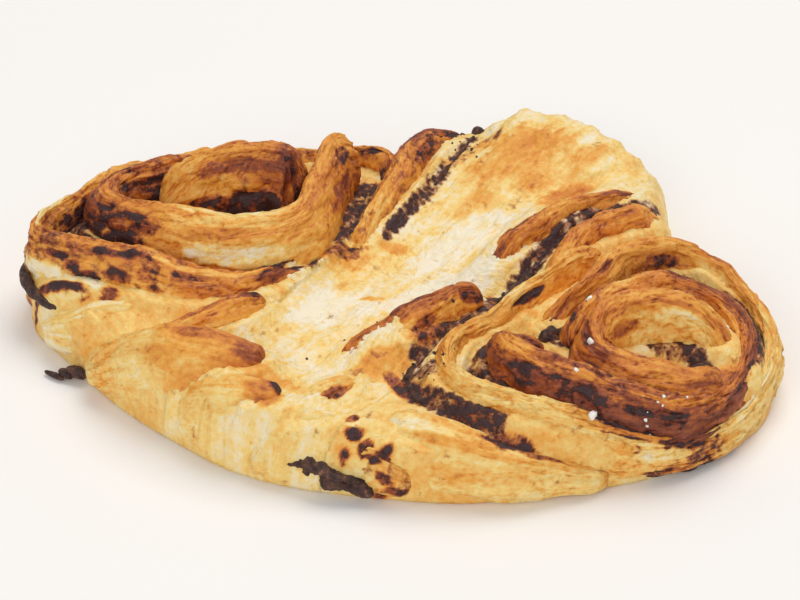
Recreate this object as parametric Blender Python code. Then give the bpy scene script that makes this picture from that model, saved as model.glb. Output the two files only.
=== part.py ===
"""Franzbrotchen: a roll of laminated dough pressed flat along its middle, so that its two cut ends fan open.

Lengths are in millimetres and become metres where a mesh is made. The origin is the middle of the
footprint, on the surface that the pastry rests on. +X runs from one coiled end to the other, +Y along the
pressed band between them.
"""

import math

import bmesh
import bpy
import numpy as np
from mathutils import Matrix

MM = 0.001

# The footprint: where the dough bulges out over the tray, as points on a closed curve, anticlockwise.
PAD_CENTRE = (-1.0, -3.0)
PAD_OUTLINE = [
    (-65.0, -34.5), (-58.5, -44.0), (-47.5, -48.0), (-36.5, -51.5), (-26.5, -54.0), (-14.0, -55.5),
    (-1.0, -56.0), (11.0, -53.0), (24.0, -47.0), (36.5, -39.5), (48.0, -28.0), (57.5, -16.5),
    (64.0, -3.0), (66.0, 9.0), (61.0, 21.0), (50.5, 30.0), (38.0, 33.0), (27.5, 43.0), (20.5, 54.0),
    (8.5, 59.0), (-5.5, 58.0), (-17.0, 54.5), (-23.5, 41.5), (-31.0, 29.0), (-43.0, 22.0),
    (-54.5, 12.0), (-62.5, -2.0), (-66.0, -19.0),
]
PAD_BEARINGS = 64
PAD_RIM_RINGS = 7
PAD_FLOOR_INSET = 3.0
PAD_RIM = 8.0
PAD_TOP_INSETS = (13.0, 20.0, 27.0, 35.0, 43.0)
CREVICE_FLOOR = 9.0

# The pressed band: a saddle that is lowest where the spoon handle went in, and rises towards its far end.
BAND_HALF_WIDTH = 17.0
BAND_FAR_SPREAD = 6.0
BAND_MIDDLE = (0.5, -14.0)
BAND_LEAN = 0.05
BAND_LOW = 10.0
BAND_FAR_RISE = 8.5
BAND_FAR_TILT = 0.48
BAND_FAR = 58.0

# Each fold of dough is a soft wall that stands up out of the pad: (inner half width, foot height), then its
# route as (x, y, crest height, outer half width). The outer side is to the right of the route, so the turns
# of both coils run anticlockwise.
FOLDS = {
    "left_eye": (5.0, 5.0, [
        (-27.5, -1.0, 18.5, 3.5), (-30.5, -0.5, 27.0, 5.0), (-36.5, -3.0, 28.5, 5.5),
        (-42.5, -7.5, 28.0, 5.5), (-47.5, -11.5, 25.0, 4.5), (-51.5, -15.0, 19.0, 3.5)]),
    "left_inner_turn": (3.0, 4.0, [
        (-34.0, 6.0, 15.0, 3.0), (-43.0, 2.0, 20.5, 4.0), (-52.5, -7.0, 22.0, 4.5),
        (-58.5, -16.0, 21.5, 4.5), (-57.0, -23.0, 20.5, 5.5), (-46.5, -22.5, 21.5, 7.0),
        (-35.0, -20.0, 23.0, 7.5), (-26.5, -17.0, 24.0, 7.0), (-22.5, -9.5, 24.0, 6.0),
        (-26.0, 0.5, 24.5, 5.5), (-29.5, 9.5, 26.0, 5.0), (-28.5, 16.5, 23.0, 4.0)]),
    "left_outer_turn": (3.0, 1.0, [
        (-20.5, 17.0, 15.0, 3.5), (-25.5, 22.5, 18.5, 4.5), (-34.5, 21.5, 16.5, 5.0),
        (-46.0, 16.5, 14.5, 5.0), (-56.5, 6.0, 16.0, 4.5), (-62.0, -8.0, 18.0, 3.5),
        (-64.5, -23.5, 18.5, 2.5), (-63.5, -35.5, 18.5, 3.0), (-55.5, -38.0, 19.0, 5.5),
        (-42.0, -33.5, 19.5, 7.0), (-31.0, -31.0, 18.5, 7.0), (-23.0, -25.5, 17.0, 5.5),
        (-18.5, -14.0, 15.5, 4.0), (-15.5, -2.0, 11.0, 3.0)]),
    "left_far_rope": (4.0, 4.0, [
        (-13.0, -9.0, 9.0, 2.0), (-15.0, 2.0, 15.5, 3.0), (-18.0, 14.0, 19.5, 4.0),
        (-21.5, 25.0, 20.5, 5.0), (-22.5, 34.0, 18.5, 5.0), (-19.5, 43.0, 14.0, 4.0)]),
    "right_eye": (4.0, 6.0, [
        (58.5, 9.5, 13.0, 2.5), (52.5, 9.0, 19.5, 4.0), (45.0, 4.5, 22.5, 5.0),
        (39.5, -3.5, 21.5, 4.5), (41.5, -9.0, 19.5, 4.5), (47.5, -8.5, 18.0, 5.5),
        (53.5, -6.5, 17.0, 5.5), (58.0, -4.0, 16.0, 4.5), (60.0, 1.5, 14.5, 3.0)]),
    "right_inner_turn": (4.0, 4.0, [
        (32.5, -10.0, 14.5, 2.5), (28.0, -15.5, 19.0, 4.0), (31.5, -19.0, 20.0, 4.5),
        (38.0, -19.8, 20.5, 5.0), (45.0, -18.0, 19.5, 5.0), (52.0, -15.5, 17.5, 4.5),
        (57.0, -12.5, 15.5, 3.5), (60.3, -8.5, 14.0, 3.0), (62.0, -2.5, 13.0, 2.5),
        (62.0, 5.0, 13.0, 2.5), (59.5, 12.5, 14.0, 2.5), (54.5, 17.5, 15.5, 3.0),
        (47.5, 17.5, 18.0, 4.0), (41.5, 13.5, 20.0, 5.0), (38.0, 5.0, 21.0, 5.0),
        (36.5, -2.5, 21.5, 4.5), (36.0, -8.5, 18.5, 3.5)]),
    "right_outer_turn": (3.0, 1.0, [
        (24.5, 22.0, 14.0, 3.0), (24.0, 12.0, 19.0, 3.0), (21.5, -1.5, 18.0, 2.5),
        (20.5, -10.0, 17.5, 2.5), (18.8, -18.0, 17.0, 2.5), (21.5, -25.5, 16.5, 3.0),
        (27.5, -28.3, 17.0, 3.5), (35.0, -28.0, 17.0, 3.5), (42.0, -25.6, 16.0, 3.5),
        (49.0, -21.5, 13.5, 3.0), (54.5, -17.5, 11.0, 2.5), (59.0, -13.5, 9.0, 2.0),
        (62.8, -8.0, 8.0, 1.5), (64.8, -0.5, 8.0, 1.5), (65.0, 6.5, 8.5, 2.0),
        (63.5, 13.3, 9.5, 2.0), (60.0, 20.0, 11.0, 2.5), (54.5, 25.5, 12.5, 3.0),
        (48.5, 28.3, 14.5, 3.5), (42.5, 28.8, 16.5, 4.0), (36.0, 25.3, 19.0, 4.5),
        (31.8, 16.5, 20.5, 4.5), (30.5, 4.0, 19.5, 3.5), (27.0, -4.5, 13.0, 2.5)]),
    "right_front_skirt": (4.0, 0.0, [
        (15.5, -42.0, 9.0, 5.5), (22.0, -38.5, 12.5, 6.5), (30.5, -36.8, 12.5, 6.0),
        (37.5, -34.0, 11.0, 5.0), (43.5, -30.5, 9.0, 4.0), (49.0, -26.5, 6.5, 2.5),
        (53.0, -22.5, 4.5, 2.0)]),
    "right_near_wall": (2.5, 4.0, [
        (1.5, -32.0, 10.0, 3.0), (4.5, -25.5, 14.0, 6.0), (7.8, -18.5, 17.5, 6.0),
        (11.5, -11.8, 19.0, 4.5), (16.0, -5.5, 18.0, 2.5)]),
    "right_far_wall": (4.0, 4.0, [
        (9.5, 2.5, 12.0, 2.5), (11.0, 10.0, 17.5, 3.0), (12.0, 18.5, 19.0, 3.0),
        (14.5, 26.5, 19.5, 3.0), (18.0, 34.5, 18.5, 3.0), (21.0, 43.0, 14.5, 2.5)]),
    "right_far_arch": (2.5, 3.0, [
        (20.0, 9.0, 14.0, 2.5), (19.5, 18.0, 17.5, 3.5), (21.0, 26.5, 18.5, 4.0),
        (24.0, 33.5, 18.0, 4.0), (26.5, 40.0, 13.5, 3.0)]),
    "front_wrap": (4.0, 1.0, [
        (-52.0, -48.0, 8.0, 3.0), (-43.5, -43.5, 11.5, 4.5), (-35.5, -37.5, 14.0, 5.0),
        (-27.0, -30.5, 14.0, 5.0), (-19.5, -22.0, 11.0, 3.0)]),
    "front_ruffle": (2.5, 2.0, [
        (-38.0, -52.0, 7.0, 3.0), (-30.0, -49.0, 13.0, 4.0), (-23.5, -42.5, 16.0, 4.5),
        (-18.5, -34.0, 17.5, 4.5), (-16.5, -26.5, 15.5, 3.0)]),
    "front_roll": (3.5, 1.0, [
        (-35.5, -51.5, 7.0, 2.5), (-29.5, -50.0, 13.5, 4.0), (-22.0, -47.5, 18.0, 7.0),
        (-14.0, -45.0, 18.5, 8.5), (-5.0, -41.5, 16.5, 3.5)]),
    "front_lip": (4.0, 0.5, [
        (-16.0, -52.5, 10.0, 3.0), (-9.5, -51.5, 14.0, 4.5), (-3.5, -49.0, 15.5, 5.5),
        (2.5, -46.0, 13.5, 5.0)]),
    "front_tuck": (4.5, 1.0, [
        (-1.0, -51.5, 7.5, 3.5), (4.0, -46.5, 11.5, 3.5), (8.0, -40.5, 13.5, 3.5),
        (9.0, -34.0, 12.0, 3.0)]),
    "front_hood": (3.0, 1.0, [
        (2.5, -55.5, 5.0, 2.5), (4.5, -50.5, 10.5, 3.0), (10.0, -46.5, 12.0, 2.5),
        (17.0, -41.0, 11.0, 2.5)]),
    "front_tongue": (3.5, 0.5, [
        (16.0, -46.0, 8.0, 2.5), (22.0, -45.5, 9.5, 3.0), (28.0, -43.5, 6.5, 2.5)]),
}
FOLD_STEP = 4.2
FOLD_SIDES = 12
FOLD_SQUARENESS = 2.3
FOLD_SPREAD = 0.22
TIP_LENGTH = 3.5
TIP_STAGES = (0.08, 0.4)
WELD_REACH = 0.05

# The filling: a layer pressed through the middle of the dough, walls of it, as (x, y, top height), that stand
# up between the turns of each coil, and lumps, given as folds are, that squeezed out at the edges.
FILLING_THICK = 1.6
FILLING_BED = 4.0
FILLING_TOP = 6.0
FILLING_GAP = 0.3
FILLING_FOOTPRINT = [
    (-63.0, -41.0), (-53.0, -45.0), (-40.0, -40.0), (-24.0, -34.0), (-4.0, -38.0), (6.0, -50.0),
    (18.0, -49.0), (22.0, -34.0), (44.0, -28.0), (56.0, -14.0), (56.0, 8.0), (42.0, 22.0), (22.0, 40.0),
    (4.0, 40.0), (-16.0, 38.0), (-24.0, 14.0), (-42.0, 8.0), (-54.0, -8.0), (-61.5, -26.0),
]
FILLING_WALLS = {
    "left_coil": [
        (-44.0, -4.5, 14.5), (-51.0, -13.0, 14.5), (-51.0, -20.0, 14.5), (-43.0, -19.5, 14.5),
        (-34.0, -13.5, 15.5), (-27.5, -11.5, 15.5), (-25.5, -6.0, 15.5)],
    "left_crevice": [
        (-58.5, -6.0, 11.5), (-62.5, -20.0, 12.0), (-59.5, -31.0, 12.5), (-47.0, -31.5, 12.5),
        (-34.0, -29.0, 12.5), (-24.5, -25.0, 12.5), (-18.5, -13.0, 13.0), (-20.0, 2.0, 14.0),
        (-23.5, 14.0, 15.0)],
    "left_band_edge": [
        (-12.0, 4.0, 11.5), (-13.0, 16.0, 14.0), (-15.0, 29.0, 16.5), (-17.0, 41.0, 17.0)],
    "right_coil": [
        (47.5, 1.5, 13.0), (52.0, 3.5, 13.5), (56.5, 3.0, 13.5), (58.0, 0.0, 13.5),
        (55.5, -2.5, 13.5)],
    "right_crevice": [
        (33.5, -7.0, 13.5), (34.5, 4.0, 14.0), (37.0, 15.5, 14.0), (43.0, 22.0, 13.5),
        (51.0, 23.0, 12.0), (57.5, 19.0, 11.0), (61.5, 12.0, 10.5)],
    "right_front_crevice": [
        (54.0, -16.5, 11.0), (45.5, -22.2, 12.5), (37.0, -24.2, 13.0), (29.5, -24.3, 13.0),
        (25.0, -20.0, 13.0), (25.5, -13.0, 13.5)],
    "right_outer_crevice": [
        (36.5, -32.0, 10.5), (28.0, -32.8, 12.0), (20.0, -31.5, 12.0), (14.5, -25.0, 12.0),
        (15.0, -15.0, 13.0), (17.5, -5.0, 13.5), (16.5, 5.0, 13.5), (16.0, 17.0, 14.0),
        (17.5, 26.0, 14.5), (21.5, 34.0, 15.5), (24.5, 43.0, 11.0)],
}
WALL_STEP = 5.0
FILLING_LUMPS = {
    "left_rim": (1.5, 4.5, [
        (-64.5, -32.0, 13.0, 1.5), (-63.0, -40.5, 12.0, 1.5), (-57.0, -44.5, 11.0, 1.5),
        (-49.0, -45.0, 9.5, 1.5)]),
    "front_clump": (2.5, 1.0, [
        (8.0, -53.0, 6.5, 2.0), (12.5, -51.5, 7.0, 2.5), (17.5, -50.5, 6.0, 2.5),
        (21.5, -48.5, 5.0, 2.0)]),
}

DOUGH_COLOUR = (0.72, 0.45, 0.16, 1.0)
DOUGH_ROUGHNESS = 0.5
FILLING_COLOUR = (0.055, 0.022, 0.016, 1.0)
FILLING_ROUGHNESS = 0.4


def smooth_curve(points, closed=False, samples=12):
    """A Catmull-Rom curve through the points, as many samples to each stretch."""
    p = np.asarray(points, float)
    count = len(p) if closed else len(p) - 1
    if closed:
        p = np.concatenate([p[-1:], p, p[:2]])
    else:
        p = np.concatenate([2 * p[:1] - p[1:2], p, 2 * p[-1:] - p[-2:-1]])
    t = np.linspace(0, 1, samples, endpoint=False)[:, None]
    stretches = [
        0.5 * (2 * b + (c - a) * t + (2 * a - 5 * b + 4 * c - d) * t**2 + (3 * b - a - 3 * c + d) * t**3)
        for a, b, c, d in (p[i:i + 4] for i in range(count))
    ]
    curve = np.concatenate(stretches)
    return curve if closed else np.concatenate([curve, p[-2:-1]])


def unit(vector):
    return vector / np.linalg.norm(vector)


def evenly(curve, step, end_stops=()):
    """The curve at even distances near the step, with end stops as extra distances from both ends."""
    lengths = np.concatenate([[0], np.cumsum(np.linalg.norm(np.diff(curve[:, :3], axis=0), axis=1))])
    whole = lengths[-1]
    first = max(end_stops, default=0.0)
    count = max(2, round((whole - 2 * first) / step) + 1)
    middle = np.linspace(first, whole - first, count)[1:-1] if end_stops else np.linspace(0, whole, count)
    stops = np.array([0.0, *end_stops]) if end_stops else np.array([])
    where = np.concatenate([stops, middle, (whole - stops)[::-1]])
    return where, np.stack([np.interp(where, lengths, axis) for axis in curve.T], axis=1)


def left_of(route):
    """The level unit vector to the left of the route at each of its points."""
    along = np.gradient(route[:, :2], axis=0)
    along /= np.linalg.norm(along, axis=1)[:, None]
    return np.stack([-along[:, 1], along[:, 0]], axis=1)


def new_object(name, mesh):
    obj = bpy.data.objects.new(name, mesh)
    bpy.context.scene.collection.objects.link(obj)
    return obj


def solid_of(name, rings, peak=None):
    """A closed mesh from equal rings of points in millimetres. A peak closes the last ring, or else a cap."""
    bm = bmesh.new()
    loops = [[bm.verts.new(np.asarray(p) * MM) for p in ring] for ring in rings]
    around = range(len(rings[0]))
    for here, there in zip(loops, loops[1:]):
        for i in around:
            j = (i + 1) % len(here)
            bm.faces.new((here[i], here[j], there[j], there[i]))
    bm.faces.new(loops[0][::-1])
    if peak:
        tip = bm.verts.new(np.asarray(peak) * MM)
        for i in around:
            bm.faces.new((loops[-1][i], loops[-1][(i + 1) % len(around)], tip))
    else:
        bm.faces.new(loops[-1])
    bmesh.ops.recalc_face_normals(bm, faces=bm.faces)
    mesh = bpy.data.meshes.new(name)
    bm.to_mesh(mesh)
    bm.free()
    return new_object(name, mesh)


def pad_height(x, y):
    """The top of the dough under the folds: the pressed band's saddle, and a lower floor under each coil."""
    far = min(1.0, max(0.0, y - BAND_MIDDLE[1]) / BAND_FAR) ** 2
    middle = BAND_MIDDLE[0] + BAND_LEAN * (y - BAND_MIDDLE[1])
    across = (x - middle) / (BAND_HALF_WIDTH + BAND_FAR_SPREAD * far)
    band = BAND_LOW + BAND_FAR_RISE * far * (1 - BAND_FAR_TILT * across)
    return CREVICE_FLOOR + (band - CREVICE_FLOOR) * math.exp(-(across**4))


def pad():
    """The dough that carries everything: a low cushion with a rounded rim, flat where it lies on the tray."""
    outline = smooth_curve(PAD_OUTLINE, closed=True) - PAD_CENTRE
    bearing = np.unwrap(np.arctan2(outline[:, 1], outline[:, 0]))
    reach = np.linalg.norm(outline, axis=1)
    turns = np.linspace(bearing[0], bearing[0] + 2 * math.pi, PAD_BEARINGS, endpoint=False)
    radii = np.interp(turns, np.append(bearing, bearing[0] + 2 * math.pi), np.append(reach, reach[0]))

    def ring(inset, lift):
        points = []
        for turn, radius in zip(turns, radii):
            x = PAD_CENTRE[0] + (radius - inset) * math.cos(turn)
            y = PAD_CENTRE[1] + (radius - inset) * math.sin(turn)
            points.append((x, y, pad_height(x, y) * lift))
        return points

    rises = [math.pi / 2 * k / PAD_RIM_RINGS for k in range(1, PAD_RIM_RINGS + 1)]
    rings = [ring(PAD_FLOOR_INSET, 0.0)]
    rings += [ring(PAD_RIM * (1 - math.cos(rise)), math.sin(rise)) for rise in rises]
    rings += [ring(inset, 1.0) for inset in PAD_TOP_INSETS]
    return solid_of("pad", rings, peak=(*PAD_CENTRE, pad_height(*PAD_CENTRE)))


def fold(name, inner, foot, route, gap=0.0):
    """One fold: a rounded section, broader at its foot, swept along its route and tapered at both tips.

    A gap makes every side of it that much larger.
    """
    where, line = evenly(smooth_curve(route), FOLD_STEP, [TIP_LENGTH * stage for stage in TIP_STAGES])
    turn = math.pi / 2 + np.arange(FOLD_SIDES) * 2 * math.pi / FOLD_SIDES
    across = np.sign(np.cos(turn)) * np.abs(np.cos(turn)) ** (2 / FOLD_SQUARENESS)
    up = np.sign(np.sin(turn)) * np.abs(np.sin(turn)) ** (2 / FOLD_SQUARENESS)
    spread = across * (1 - FOLD_SPREAD * up)
    rings = []
    for distance, (x, y, crest, outer), (nx, ny) in zip(where, line, left_of(line)):
        to_tip = min(1.0, min(distance, where[-1] - distance) / TIP_LENGTH + TIP_STAGES[0])
        swell = math.sqrt(1 - (1 - to_tip) ** 2)
        middle = (crest + foot) / 2
        half = (crest - foot) / 2 * (0.5 + 0.5 * swell) + gap
        widths = np.where(spread > 0, outer * swell + gap, inner * swell + gap)
        rings.append([(x - nx * a, y - ny * a, middle + half * u) for a, u in zip(spread * widths, up)])
    return solid_of(name, rings)


def wall(name, route, gap=0.0):
    """A standing wall of filling along its route, from inside the pressed layer up. A gap makes it larger."""
    _, line = evenly(smooth_curve(route), WALL_STEP)
    line[0, :2] += gap * unit(line[0, :2] - line[1, :2])
    line[-1, :2] += gap * unit(line[-1, :2] - line[-2, :2])
    half = FILLING_THICK / 2 + gap
    foot = FILLING_BED + FILLING_THICK / 4 - gap
    rings = []
    for (x, y, top), (nx, ny) in zip(line, left_of(line)):
        sides = ((half, foot), (-half, foot), (-half, top + gap), (half, top + gap))
        rings.append([(x - nx * a, y - ny * a, z) for a, z in sides])
    return solid_of(name, rings)


def filling_layer(name, gap=0.0):
    """The pressed layer of filling that joins the two coils under the band."""
    outline = smooth_curve(FILLING_FOOTPRINT, closed=True, samples=3)
    ahead = np.roll(outline, -1, axis=0) - np.roll(outline, 1, axis=0)
    ahead /= np.linalg.norm(ahead, axis=1)[:, None]
    outline[:, 0] += gap * ahead[:, 1]
    outline[:, 1] -= gap * ahead[:, 0]
    levels = (FILLING_BED - gap, FILLING_TOP + gap)
    return solid_of(name, [[(x, y, z) for x, y in outline] for z in levels])


def boolean(target, operation, others):
    """Joins or cuts the target with the others, applies it and removes them.

    The solver is MANIFOLD, because EXACT leaves open edges where two folds graze each other.
    """
    group = bpy.data.collections.new("operands")
    bpy.context.scene.collection.children.link(group)
    for other in others:
        bpy.context.scene.collection.objects.unlink(other)
        group.objects.link(other)
    modifier = target.modifiers.new(operation.lower(), "BOOLEAN")
    modifier.operation = operation
    modifier.operand_type = "COLLECTION"
    modifier.collection = group
    modifier.solver = "MANIFOLD"
    bpy.context.view_layer.update()
    graph = bpy.context.evaluated_depsgraph_get()
    mesh = bpy.data.meshes.new_from_object(target.evaluated_get(graph))
    target.modifiers.clear()
    target.data = mesh
    for other in others:
        bpy.data.objects.remove(other)
    bpy.data.collections.remove(group)
    return target


def weld(obj):
    """Merges corners that almost touch, which closes the slivers left where two folds graze each other."""
    shape = bmesh.new()
    shape.from_mesh(obj.data)
    bmesh.ops.triangulate(shape, faces=shape.faces)
    bmesh.ops.remove_doubles(shape, verts=shape.verts, dist=WELD_REACH * MM)
    shape.to_mesh(obj.data)
    shape.free()


def filling_solid(name, gap=0.0):
    """The whole filling, or with a gap the cutter that makes room for it in the dough."""
    walls = [wall(f"{name}_{key}", route, gap) for key, route in FILLING_WALLS.items()]
    lumps = [fold(f"{name}_{key}", *shape, gap) for key, shape in FILLING_LUMPS.items()]
    return boolean(filling_layer(name, gap), "UNION", walls + lumps)


def material(name, colour, roughness):
    made = bpy.data.materials.new(name)
    made.use_nodes = True
    shader = made.node_tree.nodes["Principled BSDF"]
    shader.inputs["Base Color"].default_value = colour
    shader.inputs["Roughness"].default_value = roughness
    return made


def centre(solids):
    """Moves the solids together, so that the origin is under the middle of their box."""
    corners = np.array([corner[:] for solid in solids for corner in solid.bound_box])
    low, high = corners.min(axis=0), corners.max(axis=0)
    shift = Matrix.Translation((-(low[0] + high[0]) / 2, -(low[1] + high[1]) / 2, -low[2]))
    for solid in solids:
        solid.data.transform(shift)


def finish(obj, name, colour, roughness):
    """Names a finished solid, and gives it its material and smooth shading."""
    obj.name = obj.data.name = name
    obj.data.materials.clear()
    obj.data.materials.append(material(name, colour, roughness))
    obj.data.shade_smooth()
    obj.data.set_sharp_from_angle(angle=math.radians(50))


def main():
    for obj in list(bpy.data.objects):
        bpy.data.objects.remove(obj)
    folds = [fold(name, *shape) for name, shape in FOLDS.items()]
    dough = boolean(pad(), "UNION", folds)
    dough = boolean(dough, "DIFFERENCE", [filling_solid("room", FILLING_GAP)])
    filling = filling_solid("filling")
    weld(dough)
    centre([dough, filling])
    finish(dough, "dough", DOUGH_COLOUR, DOUGH_ROUGHNESS)
    finish(filling, "filling", FILLING_COLOUR, FILLING_ROUGHNESS)


main()
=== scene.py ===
"""Franzbrotchen, the looks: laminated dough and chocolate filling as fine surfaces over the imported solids.

Lengths are in millimetres until a mesh is made. +X runs from the left coil to the right one, +Y along the
pressed band towards its raised far end, and the pastry rests on z = 0.
"""

import math

import bpy
import numpy as np
from bpy.props import FloatProperty, FloatVectorProperty, IntProperty, PointerProperty
from mathutils import Euler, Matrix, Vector


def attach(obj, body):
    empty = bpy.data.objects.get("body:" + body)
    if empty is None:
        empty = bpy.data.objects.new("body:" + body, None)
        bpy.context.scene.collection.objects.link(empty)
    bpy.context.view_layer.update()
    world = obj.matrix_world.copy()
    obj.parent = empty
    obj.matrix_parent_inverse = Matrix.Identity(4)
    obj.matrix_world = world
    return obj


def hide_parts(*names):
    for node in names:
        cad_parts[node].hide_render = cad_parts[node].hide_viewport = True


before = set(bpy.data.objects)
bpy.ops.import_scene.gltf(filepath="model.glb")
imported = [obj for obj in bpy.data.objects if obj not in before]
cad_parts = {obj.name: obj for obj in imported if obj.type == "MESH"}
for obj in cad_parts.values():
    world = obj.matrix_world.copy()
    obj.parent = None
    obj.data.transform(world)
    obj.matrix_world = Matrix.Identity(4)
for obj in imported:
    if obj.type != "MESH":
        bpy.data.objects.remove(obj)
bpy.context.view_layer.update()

bl_info = {
    "name": "Franzbrotchen",
    "version": (1, 0, 0),
    "blender": (4, 5, 0),
    "location": "3D View > Sidebar > Franzbrotchen",
    "description": "Builds the baked dough, its chocolate filling and the loose crumbs of a franzbrotchen",
    "category": "Object",
}

MM = 0.001
BODY = "root"
DOUGH_NODE, DOUGH_SLOT = "dough", "baked_dough"
FILLING_NODE, FILLING_SLOT = "filling", "chocolate_filling"

# The tables below are laid out before the origin is set under the middle of the solids' box, by this much.
TABLE_SHIFT = np.array([0.10, -1.52, 0.0])

# The footprint of the dough on the tray, anticlockwise, and the pressed sheet that the folds stand on.
PAD_CENTRE = (-1.0, -3.0)
PAD_OUTLINE = [
    (-65.0, -34.5), (-58.5, -44.0), (-47.5, -48.0), (-36.5, -51.5), (-26.5, -54.0), (-14.0, -55.5),
    (-1.0, -56.0), (11.0, -53.0), (24.0, -47.0), (36.5, -39.5), (48.0, -28.0), (57.5, -16.5),
    (64.0, -3.0), (66.0, 9.0), (61.0, 21.0), (50.5, 30.0), (38.0, 33.0), (27.5, 43.0), (20.5, 54.0),
    (8.5, 59.0), (-5.5, 58.0), (-17.0, 54.5), (-23.5, 41.5), (-31.0, 29.0), (-43.0, 22.0),
    (-54.5, 12.0), (-62.5, -2.0), (-66.0, -19.0),
]
PAD_FLOOR_INSET = 3.0
PAD_RIM = 8.0
CREVICE_FLOOR = 9.0
BAND_HALF_WIDTH = 17.0
BAND_FAR_SPREAD = 6.0
BAND_MIDDLE = (0.5, -14.0)
BAND_LEAN = 0.05
BAND_LOW = 10.0
BAND_FAR_RISE = 8.5
BAND_FAR_TILT = 0.48
BAND_FAR = 58.0

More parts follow.
